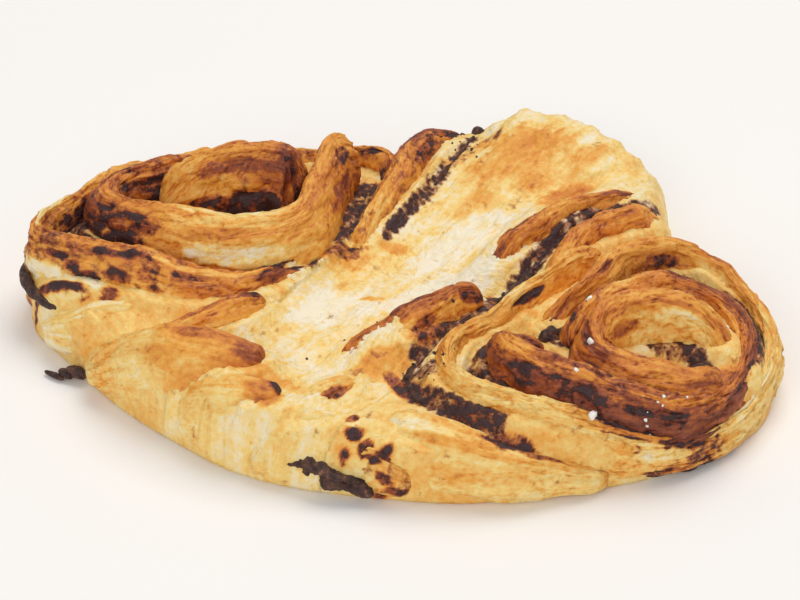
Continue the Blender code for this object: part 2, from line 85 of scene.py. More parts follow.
# Each fold of dough is a soft wall that stands up out of the sheet: (inner half width, foot height), then its
# route as (x, y, crest height, outer half width). The outer side is to the right of the route, so the turns
# of both coils run anticlockwise.
FOLDS = {
    "left_eye": (5.0, 5.0, [
        (-27.5, -1.0, 18.5, 3.5), (-30.5, -0.5, 27.0, 5.0), (-36.5, -3.0, 28.5, 5.5),
        (-42.5, -7.5, 28.0, 5.5), (-47.5, -11.5, 25.0, 4.5), (-51.5, -15.0, 19.0, 3.5)]),
    "left_inner_turn": (3.0, 4.0, [
        (-34.0, 6.0, 15.0, 3.0), (-43.0, 2.0, 20.5, 4.0), (-52.5, -7.0, 22.0, 4.5),
        (-58.5, -16.0, 21.5, 4.5), (-57.0, -23.0, 20.5, 5.5), (-46.5, -22.5, 21.5, 7.0),
        (-35.0, -20.0, 23.0, 7.5), (-26.5, -17.0, 24.0, 7.0), (-22.5, -9.5, 24.0, 6.0),
        (-26.0, 0.5, 24.5, 5.5), (-29.5, 9.5, 26.0, 5.0), (-28.5, 16.5, 23.0, 4.0)]),
    "left_outer_turn": (3.0, 1.0, [
        (-20.5, 17.0, 15.0, 3.5), (-25.5, 22.5, 18.5, 4.5), (-34.5, 21.5, 16.5, 5.0),
        (-46.0, 16.5, 14.5, 5.0), (-56.5, 6.0, 16.0, 4.5), (-62.0, -8.0, 18.0, 3.5),
        (-64.5, -23.5, 18.5, 2.5), (-63.5, -35.5, 18.5, 3.0), (-55.5, -38.0, 19.0, 5.5),
        (-42.0, -33.5, 19.5, 7.0), (-31.0, -31.0, 18.5, 7.0), (-23.0, -25.5, 17.0, 5.5),
        (-18.5, -14.0, 15.5, 4.0), (-15.5, -2.0, 11.0, 3.0)]),
    "left_far_rope": (4.0, 4.0, [
        (-13.0, -9.0, 9.0, 2.0), (-15.0, 2.0, 15.5, 3.0), (-18.0, 14.0, 19.5, 4.0),
        (-21.5, 25.0, 20.5, 5.0), (-22.5, 34.0, 18.5, 5.0), (-19.5, 43.0, 14.0, 4.0)]),
    "right_eye": (4.0, 6.0, [
        (58.5, 9.5, 13.0, 2.5), (52.5, 9.0, 19.5, 4.0), (45.0, 4.5, 22.5, 5.0),
        (39.5, -3.5, 21.5, 4.5), (41.5, -9.0, 19.5, 4.5), (47.5, -8.5, 18.0, 5.5),
        (53.5, -6.5, 17.0, 5.5), (58.0, -4.0, 16.0, 4.5), (60.0, 1.5, 14.5, 3.0)]),
    "right_inner_turn": (4.0, 4.0, [
        (32.5, -10.0, 14.5, 2.5), (28.0, -15.5, 19.0, 4.0), (31.5, -19.0, 20.0, 4.5),
        (38.0, -19.8, 20.5, 5.0), (45.0, -18.0, 19.5, 5.0), (52.0, -15.5, 17.5, 4.5),
        (57.0, -12.5, 15.5, 3.5), (60.3, -8.5, 14.0, 3.0), (62.0, -2.5, 13.0, 2.5),
        (62.0, 5.0, 13.0, 2.5), (59.5, 12.5, 14.0, 2.5), (54.5, 17.5, 15.5, 3.0),
        (47.5, 17.5, 18.0, 4.0), (41.5, 13.5, 20.0, 5.0), (38.0, 5.0, 21.0, 5.0),
        (36.5, -2.5, 21.5, 4.5), (36.0, -8.5, 18.5, 3.5)]),
    "right_outer_turn": (3.0, 1.0, [
        (24.5, 22.0, 14.0, 3.0), (24.0, 12.0, 19.0, 3.0), (21.5, -1.5, 18.0, 2.5),
        (20.5, -10.0, 17.5, 2.5), (18.8, -18.0, 17.0, 2.5), (21.5, -25.5, 16.5, 3.0),
        (27.5, -28.3, 17.0, 3.5), (35.0, -28.0, 17.0, 3.5), (42.0, -25.6, 16.0, 3.5),
        (49.0, -21.5, 13.5, 3.0), (54.5, -17.5, 11.0, 2.5), (59.0, -13.5, 9.0, 2.0),
        (62.8, -8.0, 8.0, 1.5), (64.8, -0.5, 8.0, 1.5), (65.0, 6.5, 8.5, 2.0),
        (63.5, 13.3, 9.5, 2.0), (60.0, 20.0, 11.0, 2.5), (54.5, 25.5, 12.5, 3.0),
        (48.5, 28.3, 14.5, 3.5), (42.5, 28.8, 16.5, 4.0), (36.0, 25.3, 19.0, 4.5),
        (31.8, 16.5, 20.5, 4.5), (30.5, 4.0, 19.5, 3.5), (27.0, -4.5, 13.0, 2.5)]),
    "right_front_skirt": (4.0, 0.0, [
        (15.5, -42.0, 9.0, 5.5), (22.0, -38.5, 12.5, 6.5), (30.5, -36.8, 12.5, 6.0),
        (37.5, -34.0, 11.0, 5.0), (43.5, -30.5, 9.0, 4.0), (49.0, -26.5, 6.5, 2.5),
        (53.0, -22.5, 4.5, 2.0)]),
    "right_near_wall": (2.5, 4.0, [
        (1.5, -32.0, 10.0, 3.0), (4.5, -25.5, 14.0, 6.0), (7.8, -18.5, 17.5, 6.0),
        (11.5, -11.8, 19.0, 4.5), (16.0, -5.5, 18.0, 2.5)]),
    "right_far_wall": (4.0, 4.0, [
        (9.5, 2.5, 12.0, 2.5), (11.0, 10.0, 17.5, 3.0), (12.0, 18.5, 19.0, 3.0),
        (14.5, 26.5, 19.5, 3.0), (18.0, 34.5, 18.5, 3.0), (21.0, 43.0, 14.5, 2.5)]),
    "right_far_arch": (2.5, 3.0, [
        (20.0, 9.0, 14.0, 2.5), (19.5, 18.0, 17.5, 3.5), (21.0, 26.5, 18.5, 4.0),
        (24.0, 33.5, 18.0, 4.0), (26.5, 40.0, 13.5, 3.0)]),
    "front_wrap": (4.0, 1.0, [
        (-52.0, -48.0, 8.0, 3.0), (-43.5, -43.5, 11.5, 4.5), (-35.5, -37.5, 14.0, 5.0),
        (-27.0, -30.5, 14.0, 5.0), (-19.5, -22.0, 11.0, 3.0)]),
    "front_ruffle": (2.5, 2.0, [
        (-38.0, -52.0, 7.0, 3.0), (-30.0, -49.0, 13.0, 4.0), (-23.5, -42.5, 16.0, 4.5),
        (-18.5, -34.0, 17.5, 4.5), (-16.5, -26.5, 15.5, 3.0)]),
    "front_roll": (3.5, 1.0, [
        (-35.5, -51.5, 7.0, 2.5), (-29.5, -50.0, 13.5, 4.0), (-22.0, -47.5, 18.0, 7.0),
        (-14.0, -45.0, 18.5, 8.5), (-5.0, -41.5, 16.5, 3.5)]),
    "front_lip": (4.0, 0.5, [
        (-16.0, -52.5, 10.0, 3.0), (-9.5, -51.5, 14.0, 4.5), (-3.5, -49.0, 15.5, 5.5),
        (2.5, -46.0, 13.5, 5.0)]),
    "front_tuck": (4.5, 1.0, [
        (-1.0, -51.5, 7.5, 3.5), (4.0, -46.5, 11.5, 3.5), (8.0, -40.5, 13.5, 3.5),
        (9.0, -34.0, 12.0, 3.0)]),
    "front_hood": (3.0, 1.0, [
        (2.5, -55.5, 5.0, 2.5), (4.5, -50.5, 10.5, 3.0), (10.0, -46.5, 12.0, 2.5),
        (17.0, -41.0, 11.0, 2.5)]),
    "front_tongue": (3.5, 0.5, [
        (16.0, -46.0, 8.0, 2.5), (22.0, -45.5, 9.5, 3.0), (28.0, -43.5, 6.5, 2.5)]),
}

# The walls of filling between the folds as (x, y, top), and the lumps that squeezed out at the edges.
FILLING_WALLS = {
    "left_coil": [
        (-44.0, -4.5, 14.5), (-51.0, -13.0, 14.5), (-51.0, -20.0, 14.5), (-43.0, -19.5, 14.5),
        (-34.0, -13.5, 15.5), (-27.5, -11.5, 15.5), (-25.5, -6.0, 15.5)],
    "left_crevice": [
        (-58.5, -6.0, 11.5), (-62.5, -20.0, 12.0), (-59.5, -31.0, 12.5), (-47.0, -31.5, 12.5),
        (-34.0, -29.0, 12.5), (-24.5, -25.0, 12.5), (-18.5, -13.0, 13.0), (-20.0, 2.0, 14.0),
        (-23.5, 14.0, 15.0)],
    "left_band_edge": [
        (-12.0, 4.0, 11.5), (-13.0, 16.0, 14.0), (-15.0, 29.0, 16.5), (-17.0, 41.0, 17.0)],
    "right_coil": [
        (47.5, 1.5, 13.0), (52.0, 3.5, 13.5), (56.5, 3.0, 13.5), (58.0, 0.0, 13.5),
        (55.5, -2.5, 13.5)],
    "right_crevice": [
        (33.5, -7.0, 13.5), (34.5, 4.0, 14.0), (37.0, 15.5, 14.0), (43.0, 22.0, 13.5),
        (51.0, 23.0, 12.0), (57.5, 19.0, 11.0), (61.5, 12.0, 10.5)],
    "right_front_crevice": [
        (54.0, -16.5, 11.0), (45.5, -22.2, 12.5), (37.0, -24.2, 13.0), (29.5, -24.3, 13.0),
        (25.0, -20.0, 13.0), (25.5, -13.0, 13.5)],
    "right_outer_crevice": [
        (36.5, -32.0, 10.5), (28.0, -32.8, 12.0), (20.0, -31.5, 12.0), (14.5, -25.0, 12.0),
        (15.0, -15.0, 13.0), (17.5, -5.0, 13.5), (16.5, 5.0, 13.5), (16.0, 17.0, 14.0),
        (17.5, 26.0, 14.5), (21.5, 34.0, 15.5), (24.5, 43.0, 11.0)],
}
FILLING_LUMPS = {
    "left_rim": [(-64.5, -32.0, 13.0), (-63.0, -40.5, 12.0), (-57.0, -44.5, 11.0), (-49.0, -45.0, 9.5)],
    "front_clump": [(8.0, -53.0, 6.5), (12.5, -51.5, 7.0), (17.5, -50.5, 6.0), (21.5, -48.5, 5.0)],
}

# How each fold is baked and smeared. Its stops are: share of the route, how brown its crest, its outer flank
# and its inner flank are, from 0 (pale) to 1, and how much filling is smeared on it.
BAKED = {
    "left_eye": [
        (0, 0.78, 0.73, 0.78, 0.45), (0.3, 0.63, 0.48, 0.65, 0.25), (0.6, 0.43, 0.43, 0.43, 0.15),
        (1, 0.43, 0.43, 0.38, 0.1)],
    "left_inner_turn": [
        (0, 0.45, 0.4, 0.55, 0.42), (0.2, 0.45, 0.4, 0.55, 0.32), (0.3, 0.65, 0.75, 0.6, 0.47),
        (0.4, 0.6, 0.7, 0.5, 0.52), (0.5, 0.55, 0.55, 0.4, 0.32), (0.6, 0.3, 0.42, 0.35, 0.02),
        (0.7, 0.3, 0.35, 0.35, 0.02), (0.8, 0.5, 0.5, 0.45, 0.02), (1, 0.45, 0.65, 0.35, 0.12)],
    "left_outer_turn": [
        (0, 0.5, 0.5, 0.5, 0.35), (0.35, 0.36, 0.31, 0.41, 0.15), (0.5, 0.52, 0.42, 0.42, 0.35),
        (0.62, 0.57, 0.32, 0.57, 0.4), (0.75, 0.57, 0.42, 0.52, 0.3), (0.9, 0.53, 0.58, 0.53, 0.15),
        (1, 0.63, 0.58, 0.53, 0.3)],
    "left_far_rope": [(0, 0.3, 0.35, 0.4, 0.3), (0.5, 0.5, 0.5, 0.55, 0.25), (1, 0.75, 0.7, 0.7, 0.55)],
    "right_eye": [
        (0, 0.42, 0.42, 0.32, 0.02), (0.4, 0.47, 0.52, 0.27, 0.02), (0.6, 0.67, 0.72, 0.52, 0.27),
        (0.8, 0.57, 0.67, 0.52, 0.12), (1, 0.57, 0.62, 0.52, 0.02)],
    "right_inner_turn": [
        (0, 0.66, 0.66, 0.76, 0.35), (0.15, 0.61, 0.81, 0.66, 0.35), (0.35, 0.66, 0.91, 0.66, 0.55),
        (0.5, 0.61, 0.81, 0.56, 0.15), (0.7, 0.66, 0.76, 0.56, 0.05), (0.85, 0.56, 0.81, 0.56, 0.15),
        (1, 0.56, 0.61, 0.66, 0.25)],
    "right_outer_turn": [
        (0, 0.38, 0.33, 0.53, 0.1), (0.25, 0.33, 0.38, 0.43, 0), (0.35, 0.28, 0.23, 0.33, 0),
        (0.5, 0.33, 0.33, 0.38, 0), (0.6, 0.28, 0.23, 0.43, 0), (0.75, 0.43, 0.33, 0.48, 0),
        (1, 0.53, 0.43, 0.58, 0.1)],
    "right_front_skirt": [(0, 0.26, 0.26, 0.26, 0), (1, 0.31, 0.26, 0.26, 0)],
    "right_near_wall": [(0, 0.7, 0.45, 0.5, 0.1), (0.5, 0.7, 0.45, 0.45, 0.1), (1, 0.75, 0.5, 0.5, 0.2)],
    "right_far_wall": [(0, 0.7, 0.7, 0.6, 0.1), (0.5, 0.5, 0.5, 0.5, 0), (1, 0.6, 0.6, 0.6, 0.1)],
    "right_far_arch": [(0, 0.5, 0.5, 0.5, 0.1), (1, 0.6, 0.6, 0.6, 0.2)],
    "front_wrap": [(0, 0.16, 0.12, 0.14, 0), (1, 0.28, 0.2, 0.22, 0)],
    "front_ruffle": [(0, 0.27, 0.22, 0.22, 0), (1, 0.52, 0.42, 0.42, 0.1)],
    "front_roll": [(0, 0.12, 0.1, 0.12, 0), (0.5, 0.38, 0.28, 0.28, 0), (1, 0.68, 0.58, 0.53, 0)],
    "front_lip": [(0, 0.1, 0.1, 0.05, 0), (0.6, 0.29, 0.24, 0.24, 0), (1, 0.65, 0.55, 0.45, 0.1)],
    "front_tuck": [(0, 0.17, 0.17, 0.17, 0), (1, 0.27, 0.22, 0.22, 0)],
    "front_hood": [(0, 0.22, 0.22, 0.22, 0), (1, 0.27, 0.22, 0.22, 0.1)],
    "front_tongue": [(0, 0.35, 0.35, 0.35, 0.2), (1, 0.35, 0.35, 0.35, 0.3)],
}
CREVICE_SMEAR = {
    "front_wrap": 0.0, "front_ruffle": 0.1, "front_roll": 0.0, "front_lip": 0.0, "front_tuck": 0.0,
    "front_hood": 0.3, "front_tongue": 0.3, "right_front_skirt": 0.2}

# Patches on a fold: share of its route, place around it (0 crest, 1 outer side, -1 inner side), half length
# and half breadth in millimetres, how brown, and how much filling.
PATCHES = {
    "left_eye": [
        (0.5, -0.5, 10, 2.2, 0.78, 0.2), (0.5, 0, 8, 2, 0.55, 0), (0.2, -0.3, 3.5, 6, 0.95, 0.5),
        (0.4, -0.95, 9, 2.5, 0.8, 0.75), (0.85, -0.4, 4, 3, 0.5, 0), (0.75, -0.9, 5, 1.5, 0.6, 0.5)],
    "left_inner_turn": [
        (0.33, -0.5, 2.5, 2.5, 0.6, 0.6), (0.27, -0.6, 4, 2.5, 0.6, 0.65), (0.36, 0, 4, 3, 0.62, 0),
        (0.39, 0.6, 3, 4, 0.8, 0.55), (0.41, 0.45, 2.5, 2, 0.7, 0.6), (0.45, 0.4, 4, 1.6, 0.7, 0.6),
        (0.42, 0.8, 4, 2, 0.5, 0.65), (0.47, 0.75, 4, 2, 0.5, 0.65), (0.5, 0.55, 5, 1.6, 0.6, 0.4),
        (0.5, 0.1, 12, 2, 0.58, 0.1), (0.63, 0, 11, 1.4, 0.18, 0), (0.63, 0.45, 9, 1.7, 0.5, 0),
        (0.63, 0.75, 8, 2.2, 0.1, 0), (0.8, 0.2, 8, 2, 0.55, 0), (0.86, 0.75, 9, 2, 0.72, 0.35),
        (0.92, 0.5, 4, 3, 0.6, 0.6)],
    "left_outer_turn": [
        (0.7, 0.6, 3.5, 1.6, 0.75, 0.6), (0.78, 0.3, 3, 1.2, 0.7, 0.5), (0.72, 0.15, 4, 1, 0.75, 0.5),
        (0.54, 0, 8, 2.5, 0.15, 0), (0.57, 0.3, 5, 1, 0.5, 0), (0.5, -0.7, 5, 3, 0.6, 0.7),
        (0.62, 0.45, 2.5, 1.2, 0.8, 0.65), (0.64, 0.6, 1.6, 1.6, 0.8, 0.65),
        (0.66, 0.75, 2.8, 2, 0.8, 0.7), (0.61, 0.8, 5, 2.5, 0.1, 0), (0.69, 0.25, 4.5, 1.5, 0.75, 0.6),
        (0.67, 0.2, 1.5, 1.2, 0.7, 0.6), (0.74, 0.45, 3, 1.8, 0.7, 0.55), (0.75, 0.65, 2, 1.2, 0.7, 0.55),
        (0.8, 0.1, 12, 1.6, 0.3, 0), (0.8, 0.45, 12, 1.2, 0.62, 0.15), (0.8, 0.75, 12, 1.5, 0.35, 0),
        (0.87, 0.3, 3.5, 3, 0.75, 0.6), (0.91, 0.2, 3.5, 2, 0.02, 0), (0.08, -0.2, 3, 3, 0.5, 0.6)],
    "left_far_rope": [
        (0.25, 0.3, 7, 2, 0.35, 0.1), (0.3, -0.6, 9, 2.5, 0.5, 0.4), (0.55, 0.3, 8, 2, 0.55, 0.1),
        (0.7, 0.5, 6, 2.5, 0.75, 0.5), (0.75, -0.2, 8, 2.5, 0.8, 0.35), (0.95, 0.2, 5, 4, 0.85, 0.75)],
    "right_eye": [
        (0.2, -0.6, 10, 2.5, 0.18, 0), (0.25, -0.3, 10, 1, 0.6, 0), (0.33, 0, 9, 1.5, 0.45, 0),
        (0.57, 0.3, 2.5, 2.5, 0.8, 0.4), (0.6, -0.3, 2, 2.5, 0.6, 0.1), (0.45, -0.7, 5, 2, 0.65, 0.2),
        (0.72, 0, 8, 2, 0.5, 0), (0.7, -0.6, 6, 1.5, 0.7, 0.55), (0.85, 0.5, 9, 1.2, 0.72, 0.1),
        (0.95, 0, 4, 2.5, 0.45, 0), (0.05, 0, 4, 3, 0.55, 0)],
    "right_inner_turn": [
        (0.66, 0.15, 12, 1.8, 0.92, 0.3), (0.76, 0.25, 8, 1.6, 0.95, 0.4), (0.54, 0.5, 8, 2, 0.9, 0.5),
        (0.12, 0.1, 5, 3, 0.5, 0), (0.16, 0.55, 4, 2.5, 0.9, 0.6), (0.22, 0.6, 4, 2.5, 0.85, 0.5),
        (0.25, 0.2, 6, 1.6, 0.62, 0.1), (0.26, 0.55, 4, 2.5, 0.92, 0.62), (0.31, 0.5, 5, 2.5, 0.75, 0.4),
        (0.35, 0.15, 6, 1.4, 0.5, 0), (0.35, 0.6, 6, 1.6, 0.95, 0.7), (0.43, 0.3, 6, 1.6, 0.55, 0),
        (0.5, 0.6, 6, 1.6, 0.9, 0.5), (0.58, 0.2, 9, 1.2, 0.75, 0), (0.7, 0.1, 8, 1.8, 0.85, 0.3),
        (0.78, 0.2, 6, 1.5, 0.85, 0.25), (0.88, 0, 6, 2, 0.4, 0), (0.9, 0.6, 8, 2, 0.6, 0.2),
        (0.62, -0.3, 9, 1.4, 0.5, 0), (0.98, 0.3, 4, 2.5, 0.75, 0.4)],
    "right_outer_turn": [
        (0.02, 0, 4, 3, 0.4, 0), (0.2, 0, 7, 2.2, 0.5, 0), (0.15, 0.1, 5, 1.5, 0.2, 0),
        (0.13, -0.45, 5, 1.5, 0.85, 0.75), (0.24, 0.3, 3, 3, 0.6, 0.2), (0.3, 0, 7, 1.6, 0.2, 0),
        (0.4, -0.2, 9, 1.2, 0.3, 0), (0.35, 0.35, 9, 1.8, 0.2, 0), (0.44, 0.35, 9, 1.2, 0.55, 0),
        (0.43, 0.6, 9, 1.2, 0.15, 0), (0.48, 0.9, 5, 3, 0.2, 0), (0.51, 0.2, 2.5, 2.2, 0.6, 0.65),
        (0.47, 0, 2.5, 2, 0.6, 0.62), (0.54, 0.5, 5, 3.5, 0.2, 0), (0.6, 0.2, 9, 2.5, 0.12, 0),
        (0.7, 0, 8, 1.5, 0.25, 0), (0.79, 0.1, 9, 1.8, 0.6, 0), (0.76, -0.5, 7, 2.5, 0.3, 0),
        (0.84, -0.6, 6, 2, 0.6, 0.5), (0.88, 0, 6, 2.5, 0.45, 0), (0.91, -0.2, 3, 2, 0.8, 0.1),
        (0.97, -0.3, 4, 2.5, 0.65, 0.3)],
    "right_near_wall": [
        (0.35, -0.2, 5, 1.3, 0.75, 0.1), (0.55, -0.1, 5, 1.8, 0.85, 0.15), (0.8, 0, 5, 2, 0.72, 0.1),
        (0.4, 0.5, 6, 2, 0.45, 0.05), (0.6, 0.6, 3, 2, 0.7, 0.5), (0.75, 0.45, 4, 1.5, 0.45, 0.1),
        (0.92, 0.4, 3, 2, 0.8, 0.6)],
    "right_far_wall": [
        (0.15, 0, 6, 2.5, 0.85, 0.15), (0.35, -0.3, 6, 2, 0.82, 0.1), (0.5, 0.2, 6, 1.5, 0.5, 0),
        (0.3, 0.7, 8, 2, 0.5, 0.2), (0.85, 0.1, 7, 1.6, 0.85, 0.4), (0.6, 0.6, 6, 1.5, 0.85, 0.5)],
    "right_far_arch": [
        (0.5, 0, 7, 2, 0.6, 0), (0.15, 0.2, 5, 2, 0.45, 0.1), (0.85, 0.3, 4, 2.5, 0.45, 0),
        (0.95, 0, 3, 2.5, 0.75, 0.5)],
    "front_ruffle": [(0.65, 0, 7, 1.2, 0.65, 0.1), (0.9, 0, 3, 2, 0.8, 0.5)],
    "front_roll": [
        (0.75, 0.1, 9, 2, 0.66, 0), (0.95, 0.3, 4, 2.5, 0.8, 0.1), (0.3, 0.4, 7, 4, 0.3, 0),
        (0.55, 0.6, 7, 2, 0.4, 0)],
    "front_lip": [(0.45, 0, 8, 2, 0.35, 0), (0.9, 0.2, 4, 4, 0.65, 0.1), (1, 0, 2.5, 3, 0.85, 0.6)],
    "front_tuck": [(0.7, 0.3, 3, 2, 0.6, 0.4), (0.35, 0, 6, 2, 0.35, 0)],
    "front_tongue": [
        (0.4, 0.5, 2, 1.3, 0.8, 0.65), (0.6, 0.9, 1.6, 1.3, 0.8, 0.65), (0.6, 0.2, 2, 1.5, 0.8, 0.65),
        (0.8, 1.2, 3, 1.5, 0.7, 0.55)],
    "right_front_skirt": [
        (0.2, 0.2, 8, 2, 0.15, 0), (0.5, 0.4, 12, 1.5, 0.42, 0), (0.35, 0.9, 12, 2, 0.35, 0),
        (0.6, 0, 5, 2.5, 0.65, 0.65), (0.75, 0.2, 5, 1.5, 0.6, 0.45), (0.6, 0.8, 10, 1.5, 0.3, 0)],
}

# The sheet: how brown the band and the rest are, and patches as place, half length and half breadth, the
# angle of the length, how brown, and how much filling.
SHEET_BAKE = (0.13, 0.26)
SHEET_PATCHES = [
    ((-4.0, 37.5), (12.0, 7.0), 70, 0.45, 0.0), ((6.0, 40.0), (12.0, 4.0), 65, 0.35, 0.0),
    ((9.5, 33.0), (7.0, 3.0), 60, 0.52, 0.0), ((15.0, 45.0), (9.0, 5.0), 50, 0.2, 0.0),
    ((-4.0, 24.0), (9.0, 4.0), 70, 0.28, 0.0), ((-13.0, -6.0), (6.0, 1.5), 60, 0.35, 0.1),
    ((-8.5, 3.0), (4.0, 1.5), 30, 0.42, 0.0), ((-13.5, 36.0), (8.0, 2.0), 75, 0.4, 0.3),
    ((5.0, -2.0), (12.0, 5.0), 65, 0.0, 0.0), ((-8.0, -18.0), (10.0, 6.0), 60, 0.02, 0.0),
    ((0.0, 12.0), (14.0, 5.0), 70, 0.03, 0.0), ((-4.0, -12.0), (2.5, 0.8), 20, 0.4, 0.1),
    ((-16.0, -8.0), (7.0, 1.8), 70, 0.55, 0.5), ((-19.0, -18.0), (5.0, 2.0), 60, 0.05, 0.0),
    ((-45.5, -43.0), (1.8, 1.0), 20, 0.7, 0.6), ((-41.0, -41.5), (2.0, 1.5), 30, 0.7, 0.6),
    ((-48.0, -41.5), (6.0, 3.0), 20, 0.1, 0.0), ((-52.0, -43.8), (6.0, 0.8), 10, 0.8, 0.7),
    ((60.5, 0.5), (7.0, 3.0), 78, 0.6, 0.3), ((-33.0, -39.5), (6.0, 2.5), 40, 0.3, 0.0),
    ((11.0, -28.5), (5.0, 3.0), 60, 0.42, 0.15), ((13.0, -19.0), (4.0, 2.5), 60, 0.6, 0.5),
    ((18.5, -27.0), (3.0, 3.0), 0, 0.25, 0.45), ((16.5, -31.0), (5.0, 1.5), 160, 0.8, 0.6),
    ((10.0, -51.0), (4.0, 3.0), 0, 0.15, 0.0), ((17.0, -45.5), (2.0, 1.2), 20, 0.8, 0.65),
    ((20.0, -46.5), (1.6, 1.2), 20, 0.8, 0.65), ((23.5, -46.0), (2.0, 1.5), 60, 0.8, 0.65),
    ((15.0, -43.5), (1.3, 0.8), 60, 0.8, 0.6), ((17.0, -48.5), (1.2, 1.0), 0, 0.8, 0.6),
    ((32.0, -34.0), (5.0, 1.6), 160, 0.7, 0.7), ((40.5, -33.0), (4.5, 2.0), 20, 0.7, 0.7),
    ((-3.0, -45.0), (9.0, 2.5), 15, 0.35, 0.0), ((1.0, -48.5), (3.0, 3.0), 0, 0.6, 0.1),
    ((-4.0, -56.0), (16.0, 4.0), 0, 0.2, 0.0), ((15.0, -1.5), (3.0, 2.5), 60, 0.7, 0.7),
    ((10.0, -1.0), (2.5, 2.0), 60, 0.0, 0.0), ((57.0, -22.0), (8.0, 2.0), 35, 0.12, 0.0),
    ((59.5, -17.0), (9.0, 2.5), 45, 0.2, 0.0),
]

# Clods of filling: middle, and half widths.
CLODS = [
    ((57.0, 0.5, 11.0), (2.5, 3.0, 3.0)), ((31.0, -6.5, 12.0), (2.5, 3.0, 3.5)),
    ((11.0, -51.0, 4.0), (3.5, 2.0, 2.4)), ((15.5, -50.5, 3.2), (3.5, 1.8, 2.2)),
    ((20.0, -49.0, 2.4), (3.5, 1.6, 1.8)), ((-17.5, 43.0, 15.0), (1.8, 1.5, 2.0)),
    ((-20.0, 41.0, 13.5), (1.2, 1.2, 2.2)), ((-44.9, -53.2, 0.7), (2.4, 0.7, 0.6)),
    ((-43.0, -52.2, 1.3), (1.8, 1.0, 0.9)), ((-41.0, -51.4, 2.0), (2.4, 1.3, 1.3)),
]

# How wide a wall of filling is and where its foot is, where they aren't the usual ones.
FILLING_HALF_WIDTHS = {
    "left_band_edge": 0.6, "left_rim": 0.8, "front_clump": 1.2, "left_coil": 1.8, "right_coil": 1.2,
    "right_crevice": 1.6, "right_front_crevice": 1.4, "right_outer_crevice": 1.1}
FILLING_FEET = {"left_rim": 8.0, "left_band_edge": 9.0}

# Sugar grains at (x, y); and spills of sugar and of crumbs as (x, y, spread, count).
SUGAR = [(55.0, 13.0), (44.0, -19.5), (37.0, -11.5), (41.0, -10.0), (49.0, -22.0), (36.0, -2.0)]
SUGAR_DUST = [(57.0, -15.0, 1.8, 7), (60.0, -10.5, 1.2, 4)]
CRUMB_SPILLS = [(-14.5, 36.0, 2.5, 10), (18.0, -25.0, 3.0, 14), (16.0, 3.0, 2.0, 6), (0.0, -20.0, 12.0, 4)]

# How rough a fold is, where it isn't as rough as the coils' turns.
RELIEF = {
    "front_roll": 0.4, "front_lip": 0.45, "front_wrap": 0.5, "front_hood": 0.6, "front_tongue": 0.7,
    "front_tuck": 0.7, "right_front_skirt": 0.75, "right_inner_turn": 1.2, "left_eye": 1.2, "right_eye": 1.1}

# How fine the surfaces are: steps along and around a fold, and the sheet's points and rings.
ALONG_STEP = 0.5
AROUND_STEP = 0.38
PAD_BEARINGS = 720
PAD_RIM_RINGS = 34
PAD_TOP_RINGS = 100
PAD_UNDER_INSETS = (30.0, 12.0, 6.0, 4.0, PAD_FLOOR_INSET)

# How long a fold's first and last tips are, where they aren't the usual length, how square its section is,
# and how much broader its foot is than its crest. A tip ends in a ring of this share of the full size.
TIP_LENGTH = 3.5
TIP_LENGTHS = {
    "front_roll": (4.0, 1.2), "front_lip": (4.0, 2.0), "front_wrap": (8.0, 4.0),
    "right_front_skirt": (3.5, 7.0)}
TIP_END = 0.06
FOLD_SQUARENESS = 2.3
FOLD_SPREAD = 0.22

# How far a fold's crest and sides wander from the route, and the lowest that dough or filling hangs.
CREST_WANDER = 0.9
SIDE_WANDER = 0.7
LOWEST = 0.02

# The sheet rises beside a fold by this share of the fold's height over it, up to a limit, and falls off over
# this length. A place counts as deep by how far folds stand over it, within the crevice's length.
FILLET_SHARE = 0.62
FILLET_LENGTH = 2.6
FILLET_LIMIT = 5.0
CREVICE_LENGTH = 2.2
CREVICE_DEPTH = 7.0
POINTS_AT_ONCE = 20000

# Walls of filling: their usual half width and foot, the steps along and points around, and the wall's tips.
FILLING_HALF_WIDTH = 2.2
FILLING_FOOT = 4.5
FILLING_STEP = 0.4
FILLING_AROUND = 72
FILLING_TIP = 2.0
FILLING_HALO = 1.0

# The folds' streaks are told apart by this many lanes, and the sheet's lie in a lane of their own.
LANES = 17
SHEET_LANE = 20

# How much browner the edges of flakes are, and how much painted shade darkens the bottoms of the crevices.
EDGE_TOAST = 0.2
CREVICE_PAINTED_SHADE = 0.18

# The photograph's camera: it looks down on the pastry from its front right.
CAMERA_AZIMUTH = math.radians(35.5)
CAMERA_ELEVATION = math.radians(34.0)
CAMERA_DISTANCE = 408.0
CAMERA_LENS = 100.0
CAMERA_SENSOR = 36.0
CAMERA_TARGET = (-1.40, -8.02, 8.5)

# The floor and the lamps, in metres.
FLOOR_HALF = 4.0
SOFTBOX_SIZE, SOFTBOX_PLACE = (1.6, 1.2), (-0.1, 0.9, 1.7)
FRONT_PANEL_SIZE, FRONT_PANEL_PLACE = (1.2, 0.6), (0.35, -1.1, 0.75)


def linear(hex_colour):
    """The linear colour of an sRGB hex value, opaque."""
    parts = [int(hex_colour[i:i + 2], 16) / 255 for i in (1, 3, 5)]
    return [c / 12.92 if c <= 0.04045 else ((c + 0.055) / 1.055) ** 2.4 for c in parts] + [1.0]


def colour_property(name, description, hex_colour):
    """A colour that the panel can change, given as sRGB."""
    return FloatVectorProperty(
        name=name, description=description, subtype="COLOR", size=4, min=0, max=1, default=linear(hex_colour))


def length_property(name, description, millimetres):
    """A length that the panel can change, given in millimetres."""
    return FloatProperty(
        name=name, description=description, subtype="DISTANCE", unit="LENGTH", min=0,
        default=millimetres * MM, precision=5)


def power_property(name, description, power):
    """A strength of light that the panel can change."""
    return FloatProperty(name=name, description=description, default=power, min=0)


